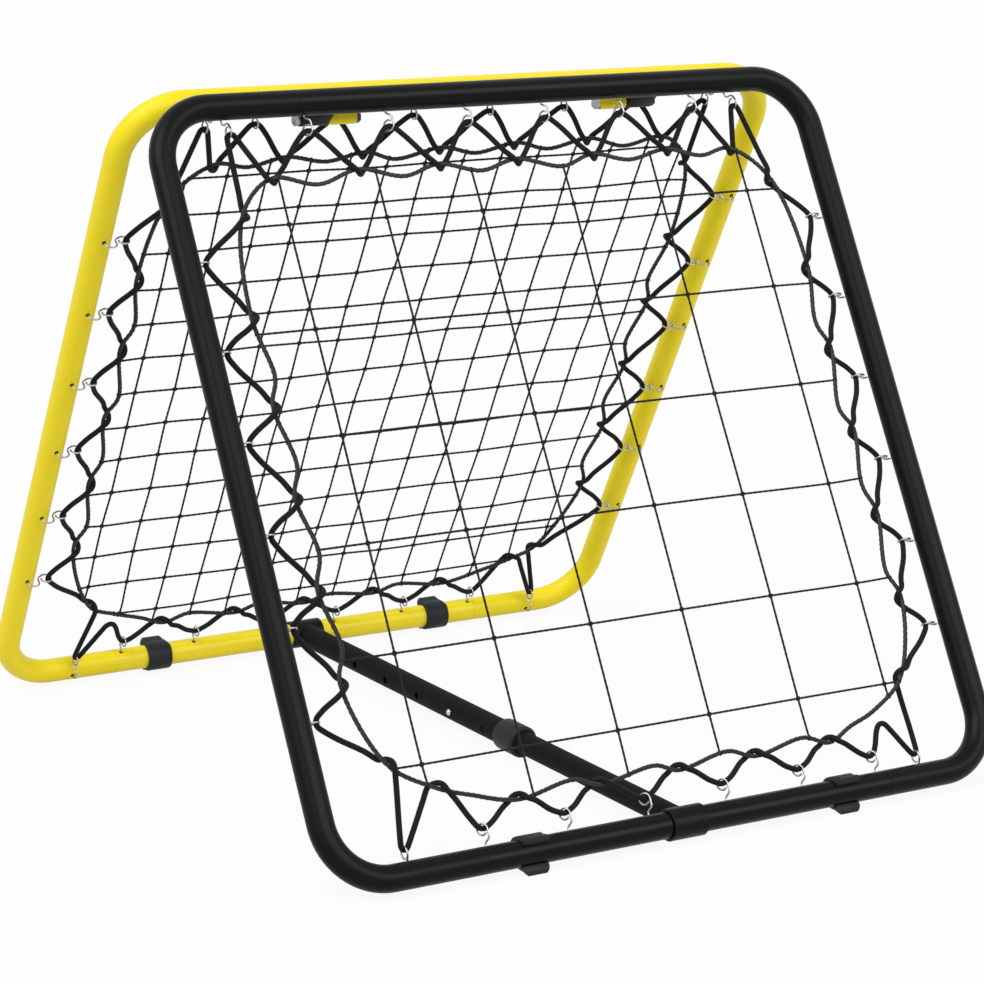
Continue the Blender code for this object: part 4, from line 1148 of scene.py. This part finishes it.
def hexagon(start, height):
    """A six-sided head or nut on the hinge line, with its corners turned off."""
    corner = BOLT_HEAD_WIDTH / sqrt(3)
    turned_corner, chamfer = HEXAGON_TURNED_SHARE * corner, HEXAGON_CHAMFER_SHARE * height
    profile = [(0, turned_corner), (chamfer, corner), (height - chamfer, corner), (height, turned_corner)]
    blank = turned("blank", profile, TUBE_SIDES, start, ACROSS)
    head = rod(start - ACROSS * height / 2, start + ACROSS * 1.5 * height, corner, sides=6)
    boolean(head, "INTERSECT", blank)
    return head


def hinge(side_name, side):
    """Both knuckles, the bolt that joins them and its nut."""
    centre, apart = side * HINGE_OFFSET, side * (KNUCKLE_GAP + KNUCKLE_LENGTH) / 2
    knuckle(FRONT, side_name, centre + apart)
    knuckle(REAR, side_name, centre - apart)
    reach = KNUCKLE_GAP / 2 + KNUCKLE_LENGTH + SEAT_GAP
    head_start = Vector((centre - reach - BOLT_HEAD_HEIGHT, 0, HINGE_HEIGHT))
    nut_start = Vector((centre + reach, 0, HINGE_HEIGHT))
    length = BOLT_HEAD_HEIGHT + 2 * reach + NUT_HEIGHT + BOLT_END
    profile = [(BOLT_HEAD_HEIGHT / 2, BOLT_RADIUS), (length - BOLT_LEAD, BOLT_RADIUS)]
    profile.append((length, BOLT_RADIUS - BOLT_LEAD))
    bolt = hexagon(head_start, BOLT_HEAD_HEIGHT)
    boolean(bolt, "UNION", turned("shank", profile, BOLT_SIDES, head_start, ACROSS))
    nut = hexagon(nut_start, NUT_HEIGHT)
    bore = (nut_start - ACROSS * NUT_HEIGHT, nut_start + ACROSS * 2 * NUT_HEIGHT)
    drill(nut, [bore], BOLT_RADIUS + SEAT_GAP, BOLT_SIDES)
    for piece, kind, look in ((bolt, "bolt", BOLT_STEEL), (nut, "nut", SHADED_NUT_STEEL)):
        node = f"hinge_{kind}_{side_name}"
        smooth_shade(piece)
        settle(named(piece, node + "_hex"), Matrix(), "front_frame", look, node)


# Strut
STRUT_AXIS = Matrix.Translation((0, 0, BOTTOM_HEIGHT))
SLEEVE_BORE = TUBE_RADIUS + SLEEVE_CLEARANCE
SLEEVE_RADIUS = SLEEVE_BORE + SLEEVE_WALL


def sleeve(name, reach, body):
    """The sleeve that turns on a bottom tube and carries one end of the strut."""
    half, edge = SLEEVE_LENGTH / 2, SLEEVE_RADIUS - EDGE_ROUND
    profile = [(-half, SLEEVE_BORE), (-half, edge), (EDGE_ROUND - half, SLEEVE_RADIUS)]
    profile += [(-x, radius) for x, radius in reversed(profile)] + profile[:1]
    piece = turned(name + "_ring", profile, TUBE_SIDES, (0, reach, 0), ACROSS)
    smooth_shade(piece)
    settle(piece, STRUT_AXIS, body, BLACK_PAINT, name)


def strut_tube(body, sleeve_place, end, radius, hole_places):
    """A strut tube, coped to its sleeve at one end, with button holes in its left wall."""
    start = ALONG * sleeve_place
    way = ALONG * copysign(1, end - sleeve_place)
    moves = [pull(abs(end - sleeve_place))]
    tube = drawn_bar(body + "_tube_bar", radius, TUBE_SIDES, start, way, moves, capped=False)
    cope = (start - ACROSS * SLEEVE_LENGTH, start + ACROSS * SLEEVE_LENGTH)
    holes = [wall_drill(ALONG * place, -ACROSS, radius) for place in hole_places]
    hole_radius = BUTTON_RADIUS + BUTTON_HOLE_CLEARANCE
    coping = ([cope], SLEEVE_RADIUS + SEAT_GAP / 3, TUBE_SIDES)
    hollow(tube, coping, (holes, hole_radius, BUTTON_HOLE_SIDES))
    settle(tube, STRUT_AXIS, body, STRUT_PAINT, body + "_tube")


def strut():
    """Both tubes with their holes, the sleeves, the collar and the button."""
    hole_places = [BUTTON_PLACE + (number - 1) * STRUT_HOLE_PITCH for number in range(STRUT_HOLES)]
    strut_tube("strut_outer", BOTTOM_REACH, OUTER_TUBE_END, TUBE_RADIUS, hole_places)
    inner_end = BUTTON_PLACE + INNER_TUBE_OVERRUN
    strut_tube("strut_inner", -BOTTOM_REACH, inner_end, STRUT_INNER_RADIUS, [BUTTON_PLACE])
    sleeve("strut_rear_sleeve", BOTTOM_REACH, "strut_outer")
    sleeve("strut_front_sleeve", -BOTTOM_REACH, "strut_inner")
    grip, guide = TUBE_RADIUS + SEAT_GAP, STRUT_INNER_RADIUS + SLEEVE_CLEARANCE
    top = COLLAR_LENGTH - COLLAR_LIP
    narrow = COLLAR_RADIUS - COLLAR_CHAMFER
    profile = [(-COLLAR_LIP, narrow), (COLLAR_CHAMFER - COLLAR_LIP, COLLAR_RADIUS)]
    profile += [(top - COLLAR_CHAMFER, COLLAR_RADIUS), (top, narrow), (top, grip)]
    profile += [(-SEAT_GAP, grip), (-SEAT_GAP, guide), (-COLLAR_LIP, guide), profile[0]]
    collar = turned("strut_collar_ring", profile, TUBE_SIDES, (0, OUTER_TUBE_END, 0), ALONG)
    soften(collar)
    settle(collar, STRUT_AXIS, "strut_outer", PLASTIC, "strut_collar")
    button()


def button():
    """The domed button with its flange against the inner tube's wall. Its axis points to the left."""
    inside = STRUT_INNER_RADIUS - TUBE_WALL
    flange_face = sqrt(inside**2 - FLANGE_RADIUS**2) - SEAT_GAP
    flange_back = flange_face - FLANGE_THICKNESS
    tip = TUBE_RADIUS + BUTTON_PROUD
    dome = [(tip - BUTTON_DOME * (1 - sin(a)), BUTTON_RADIUS * cos(a)) for a in BUTTON_DOME_ANGLES]
    profile = [(flange_back, FLANGE_RADIUS), (flange_face, FLANGE_RADIUS), (flange_face, BUTTON_RADIUS)]
    piece = turned("snap_button_dome", profile + dome, BOLT_SIDES, ALONG * BUTTON_PLACE, -ACROSS)
    smooth_shade(piece)
    settle(piece, STRUT_AXIS, "snap_button", BUTTON_STEEL, "snap_button")


for half in (FRONT, REAR):
    middle_tube(half, "upper", 1, "top_tube")
    middle_tube(half, "lower", -1, "bottom_tube")
    side_tube(half, "left", -1)
    side_tube(half, "right", 1)
for half in (FRONT, REAR):
    make_lacing(half)
for side_name, side in (("left", -1), ("right", 1)):
    clip_foot(FRONT, side_name, side)
    clip_foot(REAR, side_name, side)
    hinge(side_name, side)
strut()

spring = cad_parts["button_spring"]
spring.data.materials.clear()
spring.data.materials.append(SPRING_STEEL.material)


# Stage
def pale_floor():
    """A floor with a faint shadow, mostly clear to the camera and quite clear from below."""
    bpy.ops.mesh.primitive_plane_add(size=FLOOR_SIZE, location=(0, 0, -FLOOR_DROP))
    floor = named(bpy.context.object, "studio_floor")
    grey = (FLOOR_GREY, FLOOR_GREY, FLOOR_GREY, 1)
    look = Look("studio_floor_white", Base_Color=grey, Roughness=1.0, Specular_IOR_Level=0.0)
    clear = look.node("BsdfTransparent")
    from_below = look.node("NewGeometry", output="Backfacing")
    share = (look.seen_directly() * FLOOR_CLARITY).largest(from_below)
    mixed = look.node("MixShader", {}, share, Signal(look, look.shader.outputs[0]), clear)
    look.feed(look.tree.nodes["Material Output"].inputs["Surface"], mixed)
    floor.data.materials.append(look.material)


def studio_world():
    """White to the eye, and a softer light on the object."""
    world = bpy.data.worlds.new("studio_white")
    bpy.context.scene.world = world
    sky = Board(world)
    background = sky.tree.nodes["Background"]
    background.inputs["Color"].default_value = (1, 1, 1, 1)
    sky.feed(background.inputs["Strength"], sky.seen_directly() * (1 - SKY_LIGHT) + SKY_LIGHT)


def sun(name, strength, spread, direction):
    turn = Vector(direction).to_track_quat("-Z", "Y").to_euler()
    bpy.ops.object.light_add(type="SUN", rotation=turn)
    lamp = bpy.context.object
    lamp.name = name
    lamp.data.energy = strength
    lamp.data.angle = radians(spread)


def photo_camera():
    turn = Matrix.Rotation(-CAMERA_HEADING, 4, "Z") @ Matrix.Rotation(pi / 2 - CAMERA_TILT, 4, "X")
    turn = turn @ Matrix.Rotation(CAMERA_ROLL, 4, "Z")
    bpy.ops.object.camera_add(location=CAMERA_PLACE, rotation=turn.to_euler())
    camera = bpy.context.object
    camera.data.sensor_width = SENSOR_WIDTH
    camera.data.lens = FOCAL_LENGTH_PIXELS / PICTURE_PIXELS * SENSOR_WIDTH
    camera.data.clip_end = FARTHEST_VIEW
    bpy.context.scene.camera = camera


pale_floor()
studio_world()
sun("left_softbox", strength=2.3, spread=50, direction=(0.62, 0.15, -0.77))
sun("front_softbox", strength=0.9, spread=30, direction=(0.0, 0.82, -0.57))
sun("right_softbox", strength=0.8, spread=30, direction=(-0.50, 0.73, -0.47))
photo_camera()
bpy.context.scene.view_settings.view_transform = "Standard"
